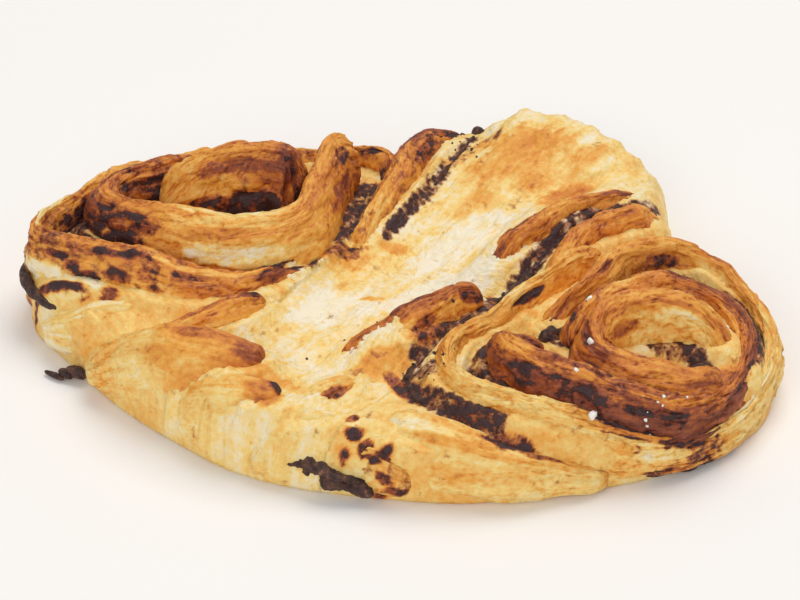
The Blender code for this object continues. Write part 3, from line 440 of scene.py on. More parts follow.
class DoughSettings(bpy.types.PropertyGroup):
    """Sizes and colours of the baked dough."""

    undulation: length_property("Undulation", "Height of the broad unevenness of a fold", 0.8)
    strata: length_property("Strata", "Height of the layers' edges that run along a fold", 0.5)
    flake: length_property("Flakes", "Thickness of the thin flakes that lift off the skin", 0.38)
    blister: length_property("Blisters", "Height of the small blisters", 0.25)
    pale: colour_property("Pale", "Dough that the heat hardly reached", "#F6EBD0")
    straw: colour_property("Straw", "Lightly baked dough", "#F8D57F")
    golden: colour_property("Golden", "Well baked dough", "#EEA73F")
    amber: colour_property("Amber", "Dough brushed with egg at a rise", "#D88127")
    toasted: colour_property("Toasted", "Dough at the crests", "#A34F1D")
    brown: colour_property("Brown", "The darkest edges", "#5A2617")
    smear: colour_property("Smear", "Filling smeared on the dough", "#3A1C1D")
    halo: colour_property("Halo", "Dough stained by the filling around a smear", "#8C3F22")


class FillingSettings(bpy.types.PropertyGroup):
    """Sizes and colours of the chocolate filling."""

    lumps: length_property("Lumps", "Height of the filling's lumps", 0.9)
    dark: colour_property("Dark", "Moist filling in the crevices", "#2C1516")
    dry: colour_property("Dry", "Filling that dried at the surface", "#5F3A2C")
    crumb: colour_property("Crumb", "Crumbs of dough in the filling", "#A47A50")


class CrumbSettings(bpy.types.PropertyGroup):
    """Loose crumbs and sugar grains."""

    sugar: length_property("Sugar grain", "Width of a sugar grain", 0.9)
    crumb: length_property("Crumb", "Width of a crumb", 0.55)
    white: colour_property("White", "Sugar", "#FBF6EE")
    seed: IntProperty(name="Seed", description="Start of the random draws", default=7, min=0)


class StageSettings(bpy.types.PropertyGroup):
    """Floor, light and camera."""

    floor: colour_property("Floor", "Plain pale floor", "#F8F5F1")
    lamps: colour_property("Lamps", "Colour of both lamps", "#FFFCF8")
    sky: colour_property("Sky", "Colour of the light all round", "#F3F6FB")
    key: power_property("Key light", "Power of the large lamp over the back", 21.5)
    front: power_property("Front light", "Power of the lamp in front", 6.5)
    surround: power_property("Surround", "Strength of the light all round", 0.46)


def corner_bits(ix, iy, iz, seed):
    """Repeatable random bits for each whole-number corner: products, shifts and exclusive ors."""
    bits = (ix * 73856093) ^ (iy * 19349663) ^ (iz * 83492791) ^ (seed * 2654435761)
    bits = (((bits & 0xFFFFFFFF) ^ ((bits & 0xFFFFFFFF) >> 15)) * 2246822519) & 0xFFFFFFFF
    bits = ((bits ^ (bits >> 13)) * 3266489917) & 0xFFFFFFFF
    return bits ^ (bits >> 16)


def noise(points, cell, seed=0):
    """Gradient noise, about -1 to 1: each corner of a cube as large as the cell has a random slope, and the
    eight slopes are blended by quintic weights."""
    q = np.asarray(points, float) / cell
    base = np.floor(q).astype(np.int64)
    part = q - base
    weight = part**3 * (part * (part * 6 - 15) + 10)
    total = np.zeros(q.shape[:-1])
    for corner in np.ndindex(2, 2, 2):
        bits = corner_bits(*(base[..., k] + corner[k] for k in range(3)), seed)
        share = np.ones(q.shape[:-1])
        slope = np.zeros(q.shape[:-1])
        for k in range(3):
            share = share * (weight[..., k] if corner[k] else 1 - weight[..., k])
            slope = slope + (((bits >> (10 * k)) & 1023) / 511.5 - 1) * (part[..., k] - corner[k])
        total += share * slope
    return total * 1.4


def fractal(points, cell, octaves, seed=0):
    """Noise added to finer noise: each octave has half the cell and half the height of the one before."""
    total = sum(noise(points, cell / 2**k, seed + 17 * k) / 2**k for k in range(octaves))
    return total / (2 - 2.0 ** (1 - octaves))


def ramp(value, low, high):
    """0 below low, 1 above high, and a smooth S between them."""
    t = np.clip((value - low) / (high - low), 0, 1)
    return t * t * (3 - 2 * t)


def smooth_curve(points, closed=False, samples=24):
    """A Catmull-Rom curve through the points, as many samples to each stretch."""
    p = np.asarray(points, float)
    count = len(p) if closed else len(p) - 1
    if closed:
        p = np.concatenate([p[-1:], p, p[:2]])
    else:
        p = np.concatenate([2 * p[:1] - p[1:2], p, 2 * p[-1:] - p[-2:-1]])
    t = np.linspace(0, 1, samples, endpoint=False)[:, None]
    stretches = [
        0.5 * (2 * b + (c - a) * t + (2 * a - 5 * b + 4 * c - d) * t**2 + (3 * b - a - 3 * c + d) * t**3)
        for a, b, c, d in (p[i:i + 4] for i in range(count))
    ]
    curve = np.concatenate(stretches)
    return curve if closed else np.concatenate([curve, p[-2:-1]])


def distances(curve):
    """How far along the curve each of its points is."""
    return np.concatenate([[0], np.cumsum(np.linalg.norm(np.diff(curve[:, :3], axis=0), axis=1))])


def at(curve, where):
    """The curve's values at distances along it."""
    lengths = distances(curve)
    return np.stack([np.interp(where, lengths, axis) for axis in curve.T], axis=1)


def left_of(route):
    """The level unit vector to the left of the route at each of its points."""
    along = np.gradient(route[:, :2], axis=0)
    along /= np.linalg.norm(along, axis=1)[:, None]
    return np.stack([-along[:, 1], along[:, 0]], axis=1)


def grid_normals(points):
    """Unit normals of rings of points: the cross product of the slopes along and around."""
    along = np.gradient(points, axis=0)
    around = np.roll(points, -1, axis=1) - np.roll(points, 1, axis=1)
    normal = np.cross(around, along)
    return normal / np.maximum(np.linalg.norm(normal, axis=-1), 1e-9)[..., None]


class Grid:
    """A closed surface: rings of points (rings, around, 3) in millimetres, and named values at each point."""

    def __init__(self, points, values):
        self.points = points
        self.values = values


def mesh_piece(name, grids, material, node):
    """One object of closed grids: quads between rings, and a fan to a pole at each end. Each grid's named
    values become attributes of the mesh's points."""
    verts, quads, tris, start = [], [], [], 0
    values = {key: [] for key in grids[0].values}
    for grid in grids:
        rings, around = grid.points.shape[:2]
        index = start + np.arange(rings * around).reshape(rings, around)
        ahead = np.roll(index, -1, axis=1)
        quads.append(np.stack([index[:-1], ahead[:-1], ahead[1:], index[1:]], axis=-1).reshape(-1, 4))
        poles = start + rings * around, start + rings * around + 1
        tris.append(np.stack([ahead[0], index[0], np.full(around, poles[0])], axis=-1))
        tris.append(np.stack([index[-1], ahead[-1], np.full(around, poles[1])], axis=-1))
        ends = [grid.points[end].mean(axis=0)[None] for end in (0, -1)]
        verts += [grid.points.reshape(-1, 3), *ends]
        for key, value in grid.values.items():
            values[key] += [value.reshape(-1), value[0].mean()[None], value[-1].mean()[None]]
        start += rings * around + 2
    verts = np.concatenate(verts) + TABLE_SHIFT
    quads, tris = np.concatenate(quads), np.concatenate(tris)
    corners = np.concatenate([quads.reshape(-1), tris.reshape(-1)])
    sizes = np.concatenate([np.full(len(quads), 4), np.full(len(tris), 3)])
    mesh = bpy.data.meshes.new(name)
    mesh.vertices.add(len(verts))
    mesh.loops.add(len(corners))
    mesh.polygons.add(len(sizes))
    mesh.vertices.foreach_set("co", (verts * MM).astype(np.float32).reshape(-1))
    mesh.loops.foreach_set("vertex_index", corners.astype(np.int32))
    starts = np.concatenate([[0], np.cumsum(sizes)[:-1]])
    mesh.polygons.foreach_set("loop_start", starts.astype(np.int32))
    mesh.update(calc_edges=True)
    mesh.shade_smooth()
    for key, value in values.items():
        layer = mesh.attributes.new(key, "FLOAT", "POINT")
        layer.data.foreach_set("value", np.concatenate(value).astype(np.float32))
    piece = bpy.data.objects.new(name, mesh)
    bpy.context.scene.collection.objects.link(piece)
    mesh.materials.append(material)
    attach(piece, BODY)
    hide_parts(node)


def fold_line(name, seed):
    """The line that a fold follows: its smooth route, closer set at the tips, with crest and sides that
    wander a little. Gives the distances along it, its points as (x, y, crest, outer half width), the level
    direction to its left, and its fullness, which falls off at each tip like a quarter circle."""
    curve = smooth_curve(FOLDS[name][2])
    whole = distances(curve)[-1]
    tips = TIP_LENGTHS.get(name, (TIP_LENGTH, TIP_LENGTH))
    quarter = np.linspace(0, math.pi / 2, 9)[:-1]
    where = np.concatenate([
        tips[0] * (1 - np.cos(quarter)), np.arange(tips[0], whole - tips[1], ALONG_STEP),
        whole - tips[1] * (1 - np.cos(quarter[::-1]))])
    line = at(curve, where)
    swell = np.minimum(1, where / tips[0]), np.minimum(1, (whole - where) / tips[1])
    swell = np.sqrt(1 - (1 - np.minimum(*swell)) ** 2)
    swell = np.maximum(swell, TIP_END)
    wander = np.stack([where, np.full_like(where, seed * 3.7), np.zeros_like(where)], axis=-1)
    line[:, 2] += CREST_WANDER * fractal(wander, 8.0, 3, seed) * swell
    side = left_of(line)
    line[:, :2] += side * (SIDE_WANDER * fractal(wander, 9.0, 3, seed + 5) * swell)[:, None]
    return where, line, side, swell[:, None]


def fold_grid(name, settings):
    """One fold of dough: a superellipse, broader at its foot, carried along the fold's line with its crest
    height and outer half width, and drawn in to a point at each tip. Relief is then added along the normals:
    slow waves, layers drawn out along the fold, flakes and blisters."""
    inner, foot, route = FOLDS[name]
    seed = sum(map(ord, name))
    whole = distances(smooth_curve(route))[-1]
    where, line, side, swell = fold_line(name, seed)
    girth = 2 * (inner + line[:, 3].max() + line[:, 2].max() - foot)
    around = int(girth / AROUND_STEP / 2) * 2
    turn = np.linspace(-math.pi / 2, 1.5 * math.pi, around, endpoint=False)[None]
    power = 2 / FOLD_SQUARENESS
    across = np.sign(np.cos(turn)) * np.abs(np.cos(turn)) ** power
    up = np.sign(np.sin(turn)) * np.abs(np.sin(turn)) ** power
    crest, outer = line[:, 2:3], line[:, 3:4]
    half = (crest - foot) / 2 * (0.5 + 0.5 * swell)
    width = np.where(across > 0, outer * swell, inner * swell)
    offset = across * width * (1 - FOLD_SPREAD * up)
    points = np.empty((len(where), around, 3))
    points[..., :2] = line[:, None, :2] - side[:, None] * offset[..., None]
    points[..., 2] = (crest + foot) / 2 + half * up
    ring = 1 - turn * 2 / math.pi + 0 * offset
    flow = np.stack([where[:, None] + 0 * offset, ring * girth / 4, np.full(offset.shape, seed * 9.1)], -1)
    normal = grid_normals(points)
    rough = RELIEF.get(name, 1.0)
    height, edge = relief(points, flow, settings, seed)
    points = points + normal * (height * (rough * swell))[..., None]
    points[..., 2] = np.maximum(points[..., 2], LOWEST)
    share = where[:, None] / whole + 0 * offset
    bake, smear = fold_paint(name, points, flow, share, ring, whole, girth / 4)
    bake = np.clip(bake + EDGE_TOAST * edge * rough, 0, 1)
    return Grid(points, {
        "along": flow[..., 0] * MM, "around": flow[..., 1] * MM,
        "lane": np.full(offset.shape, seed % LANES * MM), "bake": bake, "smear": smear})


def relief(points, flow, settings, seed):
    """Height of the unevenness in millimetres, and how near each point is to a flake's edge, 0 to 1. The
    height is slow waves; layers whose sharp edges run along the fold; flakes, which are noise cut into flat
    steps; and blisters that stand up from the skin."""
    slow = fractal(points, 11.0, 2, seed)
    bend = flow + np.array([0.0, 1.0, 0.0]) * (1.6 * noise(points, 6.0, seed + 9))[..., None]
    layers = 1 - 2 * np.abs(fractal(bend * np.array([1 / 8.0, 1 / 2.6, 1.0]), 1.0, 3, seed + 1))
    fine = 1 - 2 * np.abs(noise(bend * np.array([1 / 4.0, 1 / 0.9, 1.0]), 1.0, seed + 2))
    where = ramp(noise(points, 14.0, seed + 3), -0.3, 0.3)
    sheets = fractal(bend * np.array([1 / 6.0, 1 / 3.0, 1.0]), 1.0, 4, seed + 7)
    flakes = ramp(sheets, -0.02, 0.02) + 0.8 * ramp(sheets, 0.24, 0.27)
    edge = 1 - np.minimum(ramp(np.abs(sheets - 0.01), 0.0, 0.05), ramp(np.abs(sheets - 0.26), 0.0, 0.04))
    blisters = np.maximum(0, noise(points, 2.4, seed + 4)) ** 1.5
    blisters = blisters + 0.6 * np.maximum(0, noise(points, 1.2, seed + 6))
    height = settings.undulation / MM * slow \
        + settings.strata / MM * (0.8 * layers + 0.2 * fine) * (0.3 + 0.7 * where) \
        + settings.flake / MM * (flakes - 0.8) * (1.2 - 0.5 * where) \
        + settings.blister / MM * blisters
    return height, edge


def route_samples():
    """Points about a millimetre and a half apart on every fold's route, as (x, y, crest, half width)."""
    samples = {}
    for name, (inner, foot, route) in FOLDS.items():
        curve = smooth_curve(route)
        whole = distances(curve)[-1]
        line = at(curve, np.arange(2.0, whole - 1.5, 1.5))
        middle = line[:, :2] + left_of(line) * ((inner - line[:, 3:4]) / 2)
        samples[name] = np.column_stack([middle, line[:, 2], (inner + line[:, 3]) / 2])
    return samples


ROUTES = route_samples()


def beside_folds(points, names):
    """For points (n, 3): how much the highest fold close by raises the sheet there, which falls off with the
    distance to the fold's side, and how deep the point lies beside higher folds, from 0 to 1."""
    rise, deep = np.zeros(len(points)), np.zeros(len(points))
    for name in names:
        line = ROUTES[name]
        for start in range(0, len(points), POINTS_AT_ONCE):
            part = slice(start, start + POINTS_AT_ONCE)
            x, y, z = (points[part, axis, None] for axis in range(3))
            gap = np.maximum(np.hypot(x - line[:, 0], y - line[:, 1]) - line[:, 3], 0)
            over = line[:, 2] - z
            lift = np.maximum(over * FILLET_SHARE, 0) * np.exp(-gap / FILLET_LENGTH)
            rise[part] = np.maximum(rise[part], lift.max(axis=1))
            sunk = np.clip(over / CREVICE_DEPTH, 0, 1) * np.exp(-gap / CREVICE_LENGTH)
            deep[part] = np.maximum(deep[part], sunk.max(axis=1))
    return rise, deep


def near_filling(points):
    """1 at a wall of filling, falling to 0 a few millimetres from it."""
    near = np.zeros(points.shape[:-1])
    for name, route in FILLING_WALLS.items():
        half = FILLING_HALF_WIDTHS.get(name, FILLING_HALF_WIDTH)
        curve = smooth_curve(route)
        for x, y, z in at(curve, np.arange(0, distances(curve)[-1], 2.0)):
            away = np.hypot(points[..., 0] - x, points[..., 1] - y)
            near = np.maximum(near, np.exp(-np.maximum(away - half, 0) / FILLING_HALO))
    return near


def ragged(points, seed):
    """Noise that makes the edge of a painted patch uneven."""
    return 0.55 * fractal(points, 5.0, 3, seed) + 0.3 * noise(points, 1.1, seed + 3)


def fold_paint(name, points, flow, share, ring, whole, quarter):
    """How brown each point of a fold is, from 0 (pale) to 1, and how much filling smears it. Both come from
    the fold's own stops along its route, for its crest and its two flanks, and from how deep the point lies
    between other folds; there the crevice bottoms also get painted shade that darkens them. Patches, ellipses
    on the fold's surface with uneven edges, are laid over this."""
    stops = np.array(BAKED[name])
    crest, outer, inner, dark = (np.interp(share, stops[:, 0], stops[:, k]) for k in range(1, 5))
    down = ramp(np.abs(ring), 0.15, 0.95)
    bake = crest * (1 - down) + np.where(ring > 0, outer, inner) * down
    others = [other for other in FOLDS if other != name]
    deep = beside_folds(points.reshape(-1, 3), others)[1].reshape(share.shape)
    seed = sum(map(ord, name))
    rough = ragged(points, seed + 40)
    smear = dark * (0.75 + 0.5 * rough) + CREVICE_SMEAR.get(name, 0.75) * ramp(deep + 0.35 * rough, 0.45, 1.0)
    # Painted shade: points deep between other folds are darkened by adding to their bake value.
    bake = bake + CREVICE_PAINTED_SHADE * ramp(deep, 0.3, 1.0)
    for place, at_ring, long, broad, brown, choc in PATCHES.get(name, ()):
        reach = np.hypot((share - place) * whole / long, (ring - at_ring) * quarter / broad)
        cover = 1 - ramp(reach + 0.8 * rough, 0.65, 1.15)
        bake = bake + cover * (brown - bake)
        smear = smear + cover * (choc - smear)
    return np.clip(bake, 0, 1), np.clip(smear, 0, 1)


def pad_height(x, y):
    """The top of the sheet under the folds: the pressed band's saddle and a lower floor under each coil."""
    far = np.clip((y - BAND_MIDDLE[1]) / BAND_FAR, 0, 1) ** 2
    middle = BAND_MIDDLE[0] + BAND_LEAN * (y - BAND_MIDDLE[1])
    across = (x - middle) / (BAND_HALF_WIDTH + BAND_FAR_SPREAD * far)
    band = BAND_LOW + BAND_FAR_RISE * far * (1 - BAND_FAR_TILT * across)
    return CREVICE_FLOOR + (band - CREVICE_FLOOR) * np.exp(-(across**4)), np.exp(-(across**4))


def footprint():
    """Evenly spaced bearings round the middle of the footprint, and its reach at each of them."""
    outline = smooth_curve(PAD_OUTLINE, closed=True) - PAD_CENTRE
    bearing = np.unwrap(np.arctan2(outline[:, 1], outline[:, 0]))
    reach = np.linalg.norm(outline, axis=1)
    turns = np.linspace(bearing[0], bearing[0] + 2 * math.pi, PAD_BEARINGS, endpoint=False)
    return turns, np.interp(turns, np.append(bearing, bearing[0] + 2 * math.pi), np.append(reach, reach[0]))


def pad_grid(settings):
    """The pressed sheet: rings that follow the footprint, from the flat underside over a rounded rim to the
    middle. Height is the saddle, raised beside each fold's foot, with creases drawn out along the band."""
    turns, radii = footprint()
    rise = np.linspace(0, math.pi / 2, PAD_RIM_RINGS)
    rim = PAD_RIM * (1 - np.cos(rise))
    under = np.array(PAD_UNDER_INSETS)
    share = np.linspace(0, 1, PAD_TOP_RINGS + 1)[1:-1]
    inset = np.concatenate([
        np.broadcast_to(under[:, None], (len(under), PAD_BEARINGS)),
        np.broadcast_to(rim[1:, None], (len(rim) - 1, PAD_BEARINGS)),
        PAD_RIM + share[:, None] * (radii[None] - PAD_RIM)])
    lift = np.concatenate([np.zeros(len(under)), np.sin(rise[1:]), np.ones(len(share))])[:, None]
    radius = radii[None] - inset
    x = PAD_CENTRE[0] + radius * np.cos(turns)
    y = PAD_CENTRE[1] + radius * np.sin(turns)
    top, in_band = pad_height(x, y)
    points = np.stack([x, y, top * lift], axis=-1)
    normal = grid_normals(points)
    raised = beside_folds(points.reshape(-1, 3), FOLDS)[0].reshape(x.shape)
    points[..., 2] += np.minimum(raised, FILLET_LIMIT) * ramp(points[..., 2], 0.5, 5.0)
    flow = np.stack([y, x, np.full_like(x, 7.0)], axis=-1)
    folds = noise(flow * np.array([1 / 18.0, 1 / 5.0, 1.0]), 1.0, 61) + 0.5 * fractal(points, 9.0, 2, 62)
    clods = np.abs(fractal(points, 3.2, 4, 63)) * (1 - in_band)
    rim_flow = np.stack([turns * 50.0 + 0 * x, inset + 0 * x, np.full_like(x, 3.0)], axis=-1)
    band_relief, band_edge = relief(points, flow, settings, 71)
    rim_relief, rim_edge = relief(points, rim_flow, settings, 72)
    depth = in_band * (0.8 * band_relief + 1.1 * folds) + (1 - in_band) * (0.35 * rim_relief + 0.9 * clods)
    flow = np.where(in_band[..., None] > 0.5, flow, rim_flow)
    points = points + normal * (depth * ramp(points[..., 2], 0.0, 3.0))[..., None]
    points[..., 2] = np.where(lift > 0, np.maximum(points[..., 2], LOWEST), 0.0)
    bake, smear = sheet_paint(x, y, points, inset, in_band, band_edge)
    return Grid(points, {
        "along": flow[..., 0] * MM, "around": flow[..., 1] * MM, "lane": np.full_like(x, SHEET_LANE * MM),
        "bake": bake, "smear": smear})


def sheet_paint(x, y, points, inset, in_band, band_edge):
    """How brown the sheet is and how much filling smears it, like a fold's: paler in the band, a little
    browner at the rim and at the flakes' edges, smeared beside the walls of filling, and then patched."""
    rough = ragged(points, 64)
    rim_share = 1 - ramp(inset, 4.0, 11.0)
    bake = SHEET_BAKE[0] * in_band + SHEET_BAKE[1] * (1 - in_band) + 0.10 * rough + 0.03 * rim_share
    bake = bake + 0.5 * EDGE_TOAST * band_edge * in_band
    smear = 0.62 * ramp(near_filling(points) + 0.35 * rough, 0.15, 0.85)
    for (px, py), (long, broad), angle, brown, choc in SHEET_PATCHES:
        c, sn = math.cos(math.radians(angle)), math.sin(math.radians(angle))
        u, v = (x - px) * c + (y - py) * sn, (y - py) * c - (x - px) * sn
        cover = 1 - ramp(np.hypot(u / long, v / broad) + 0.8 * rough, 0.65, 1.15)
        bake = bake + cover * (brown - bake)
        smear = smear + cover * (choc - smear)
    return np.clip(bake, 0, 1), np.clip(smear, 0, 1)


def node_with(tree, kind, settings=None, links=None):
    """Adds a node, sets its properties and its inputs' values, and links its inputs to other outputs."""
    made = tree.nodes.new(kind)
    for key, value in (settings or {}).items():
        if isinstance(key, str) and hasattr(made, key):
            setattr(made, key, value)
        else:
            made.inputs[key].default_value = value
    for key, output in (links or {}).items():
        tree.links.new(output, made.inputs[key])
    return made


def new_material(name):
    """A material with an empty tree of nodes."""
    made = bpy.data.materials.new(name)
    made.use_nodes = True
    made.node_tree.nodes.clear()
    return made


def baked_dough(settings):
    """Laminated wheat dough, brushed with egg and baked: a dry, faintly glossy skin that lets a little light
    in. The bake attribute, moved by streaks that follow the layers and by small specks, picks the colour
    from cream over straw, gold and amber to brown; the smear attribute, broken up by noise, lays dark
    filling over it, with a red-brown stain around each smear."""
    made = new_material("laminated_wheat_dough_baked")
    tree = made.node_tree
    read = {
        key: node_with(tree, "ShaderNodeAttribute", {"attribute_name": key}).outputs["Fac"]
        for key in ("along", "around", "lane", "bake", "smear")}
    drawn_out = node_with(tree, "ShaderNodeMath", {"operation": "MULTIPLY", 1: 0.22}, {0: read["along"]})
    flow = node_with(tree, "ShaderNodeCombineXYZ", {}, {
        "X": drawn_out.outputs[0], "Y": read["around"], "Z": read["lane"]}).outputs[0]
    place = node_with(tree, "ShaderNodeTexCoord").outputs["Object"]
    patterns = {
        "streaks": (flow, 0.0024, 3.0), "hairs": (flow, 0.0007, 2.0), "clouds": (place, 0.007, 3.0),
        "specks": (place, 0.0011, 4.0), "crumble": (place, 0.0022, 8.0), "dust": (place, 0.0005, 2.0)}
    pattern = {
        key: node_with(
            tree, "ShaderNodeTexNoise", {"Scale": 1 / size, "Detail": detail, "Roughness": 0.6},
            {"Vector": space}).outputs["Fac"]
        for key, (space, size, detail) in patterns.items()}
    uneven = {
        key: node_with(tree, "ShaderNodeMath", {"operation": "SUBTRACT", 1: 0.5}, {0: value}).outputs[0]
        for key, value in pattern.items()}
    bake = read["bake"]
    for key, strength in (("streaks", 0.5), ("hairs", 0.1), ("clouds", 0.5), ("specks", 0.38)):
        bake = node_with(
            tree, "ShaderNodeMath", {"operation": "MULTIPLY_ADD", 1: strength},
            {0: uneven[key], 2: bake}).outputs[0]
    crumb = node_with(tree, "ShaderNodeValToRGB", {}, {"Fac": bake})
    stops = (
        (0.0, settings.pale), (0.2, settings.straw), (0.42, settings.golden), (0.6, settings.amber),
        (0.78, settings.toasted), (1.0, settings.brown))
    for stop in stops[2:]:
        crumb.color_ramp.elements.new(0.9)
    for element, (where, colour) in zip(crumb.color_ramp.elements, stops):
        element.position, element.color = where, colour
    cover = read["smear"]
    for key, strength in (("crumble", 1.7), ("streaks", 0.6)):
        cover = node_with(
            tree, "ShaderNodeMath", {"operation": "MULTIPLY_ADD", 1: strength},
            {0: uneven[key], 2: cover}).outputs[0]
    stain = node_with(
        tree, "ShaderNodeMapRange", {"interpolation_type": "SMOOTHSTEP", 1: 0.17, 2: 0.55, 4: 0.9},
        {0: cover})
    thick = node_with(
        tree, "ShaderNodeMapRange", {"interpolation_type": "SMOOTHSTEP", 1: 0.49, 2: 0.67},
        {0: cover}).outputs[0]
    stained = node_with(
        tree, "ShaderNodeMix", {"data_type": "RGBA", 7: settings.halo},
        {0: stain.outputs[0], 6: crumb.outputs["Color"]})
    colour = node_with(
        tree, "ShaderNodeMix", {"data_type": "RGBA", 7: settings.smear}, {0: thick, 6: stained.outputs[2]})
    skin = pattern["specks"]
    for key, strength in (("dust", 0.35), ("hairs", 0.5)):
        skin = node_with(
            tree, "ShaderNodeMath", {"operation": "MULTIPLY_ADD", 1: strength},
            {0: pattern[key], 2: skin}).outputs[0]
    pits = node_with(tree, "ShaderNodeBump", {"Strength": 0.7, "Distance": 0.0005}, {"Height": skin})
    lumps = node_with(
        tree, "ShaderNodeBump", {"Strength": 0.5, "Distance": 0.0006},
        {"Height": thick, "Normal": pits.outputs[0]})
    roughness = node_with(
        tree, "ShaderNodeMath", {"operation": "MULTIPLY_ADD", 1: 0.3, 2: 0.4}, {0: pattern["specks"]})
    shader = node_with(tree, "ShaderNodeBsdfPrincipled", {
        "Subsurface Weight": 0.12, "Subsurface Scale": 0.0015, "Subsurface Radius": (1.0, 0.5, 0.25)},
        {"Base Color": colour.outputs[2], "Roughness": roughness.outputs[0], "Normal": lumps.outputs[0]})
    node_with(tree, "ShaderNodeOutputMaterial", links={"Surface": shader.outputs[0]})
    return made


def moist_filling(settings):
    """Chocolate filling, boiled in its own sugar: dark, lumpy and moist where it is thick, dry and greyish
    at the tops of its lumps, with crumbs of pale dough baked into it."""
    made = new_material("chocolate_filling_moist")
    tree = made.node_tree
    place = node_with(tree, "ShaderNodeTexCoord").outputs["Object"]
    clods = node_with(
        tree, "ShaderNodeTexNoise", {"Scale": 1 / 0.0013, "Detail": 6.0, "Roughness": 0.65},
        {"Vector": place})
    colour = node_with(tree, "ShaderNodeValToRGB", {}, {"Fac": clods.outputs["Fac"]})
    stops = ((0.42, settings.dark), (0.6, settings.dry), (0.72, settings.crumb))
    colour.color_ramp.elements.new(0.9)
    for element, (where, shade) in zip(colour.color_ramp.elements, stops):
        element.position, element.color = where, shade
    lumps = node_with(
        tree, "ShaderNodeBump", {"Strength": 0.9, "Distance": 0.0007}, {"Height": clods.outputs["Fac"]})
    roughness = node_with(
        tree, "ShaderNodeMath", {"operation": "MULTIPLY_ADD", 1: 0.7, 2: 0.22}, {0: clods.outputs["Fac"]})
    shader = node_with(tree, "ShaderNodeBsdfPrincipled", {}, {
        "Base Color": colour.outputs["Color"], "Roughness": roughness.outputs[0], "Normal": lumps.outputs[0]})
    node_with(tree, "ShaderNodeOutputMaterial", links={"Surface": shader.outputs[0]})
    return made


def coarse_sugar(settings):
    """Coarse sugar: white, glossy crystals that let light through."""
    made = new_material("coarse_sugar")
    shader = node_with(made.node_tree, "ShaderNodeBsdfPrincipled", {
        "Base Color": settings.white, "Roughness": 0.2, "Subsurface Weight": 0.4, "Subsurface Scale": 0.0008})
    node_with(made.node_tree, "ShaderNodeOutputMaterial", links={"Surface": shader.outputs[0]})
    return made


def material_once(name, maker, settings):
    """The material of that name, made the first time that it is asked for."""
    return bpy.data.materials.get(name) or maker(settings)


class DoughOperator:
    """What the operators that make dough share."""

    names = ()

    def folds(self, context):
        settings = context.scene.dough
        material = material_once("laminated_wheat_dough_baked", baked_dough, settings)
        for name in self.names:
            mesh_piece(name, [fold_grid(name, settings)], material, DOUGH_NODE)
        return {"FINISHED"}


class FRANZ_OT_left_coil(bpy.types.Operator, DoughOperator):
    """Makes the turns of the left coil and the rope beside the band"""

    bl_idname = "franz.left_coil"
    bl_label = "Left coil"
    names = ("left_eye", "left_inner_turn", "left_outer_turn", "left_far_rope")

    def execute(self, context):
        return self.folds(context)


class FRANZ_OT_right_coil(bpy.types.Operator, DoughOperator):
    """Makes the turns of the right coil and the toasted walls between it and the band"""

    bl_idname = "franz.right_coil"
    bl_label = "Right coil"
    names = (
        "right_eye", "right_inner_turn", "right_outer_turn", "right_front_skirt", "right_near_wall",
        "right_far_wall", "right_far_arch")

    def execute(self, context):
        return self.folds(context)


class FRANZ_OT_front_folds(bpy.types.Operator, DoughOperator):
    """Makes the smooth folds of the outer wrap at the front"""

    bl_idname = "franz.front_folds"
    bl_label = "Front folds"
    names = (
        "front_wrap", "front_ruffle", "front_roll", "front_lip", "front_tuck", "front_hood", "front_tongue")

    def execute(self, context):
        return self.folds(context)


class FRANZ_OT_pressed_sheet(bpy.types.Operator):
    """Makes the pressed sheet that carries the folds, with the band along its middle"""

    bl_idname = "franz.pressed_sheet"
    bl_label = "Pressed sheet"

    def execute(self, context):
        settings = context.scene.dough
        material = material_once("laminated_wheat_dough_baked", baked_dough, settings)
        mesh_piece("pressed_sheet", [pad_grid(settings)], material, DOUGH_NODE)
        return {"FINISHED"}


def filling_grid(name, route, settings):
    """A standing wall of filling: a rounded section carried along the route, with lumps along its normals."""
    seed = sum(map(ord, name))
    curve = smooth_curve(route)
    whole = distances(curve)[-1]
    where = np.arange(0, whole, FILLING_STEP)
    line = at(curve, where)
    side = left_of(line)
    wander = np.stack([where, np.full_like(where, seed * 1.3), np.zeros_like(where)], axis=-1)
    turn = np.linspace(-math.pi / 2, 1.5 * math.pi, FILLING_AROUND, endpoint=False)[None]
    swell = np.sqrt(1 - (1 - np.minimum(1, np.minimum(where, whole - where) / FILLING_TIP)) ** 2)[:, None]
    swell = np.maximum(swell, TIP_END)
    foot = FILLING_FEET.get(name, FILLING_FOOT)
    usual = FILLING_HALF_WIDTHS.get(name, FILLING_HALF_WIDTH)
    half = usual * swell * (1 + 0.5 * fractal(wander, 5.0, 2, seed + 8))[:, None]
    crest = line[:, 2:3] - 0.9 + 1.6 * fractal(wander, 4.0, 2, seed + 9)[:, None]
    points = np.empty((len(where), FILLING_AROUND, 3))
    points[..., :2] = line[:, None, :2] - side[:, None] * (half * np.cos(turn))[..., None]
    points[..., 2] = (crest + foot) / 2 + (crest - foot) / 2 * np.sin(turn) * (0.6 + 0.4 * swell)
    normal = grid_normals(points)
    lumps = np.abs(fractal(points, 3.0, 4, seed)) * 2.2 - 0.6 + 0.3 * noise(points, 0.8, seed + 1)
    heap = min(1.0, usual / 1.5)
    points = points + normal * (settings.lumps / MM * lumps * swell * heap)[..., None]
    return Grid(points, {})


def unit_ball(rings, around, cap):
    """A ball's points in rings from its lowest to its highest, which leave a cap of that angle open."""
    polar = np.linspace(cap, math.pi - cap, rings)[:, None]
    turn = np.linspace(0, 2 * math.pi, around, endpoint=False)[None]
    return np.stack([
        np.sin(polar) * np.cos(turn), np.sin(polar) * np.sin(turn), -np.cos(polar) + 0 * turn], axis=-1)


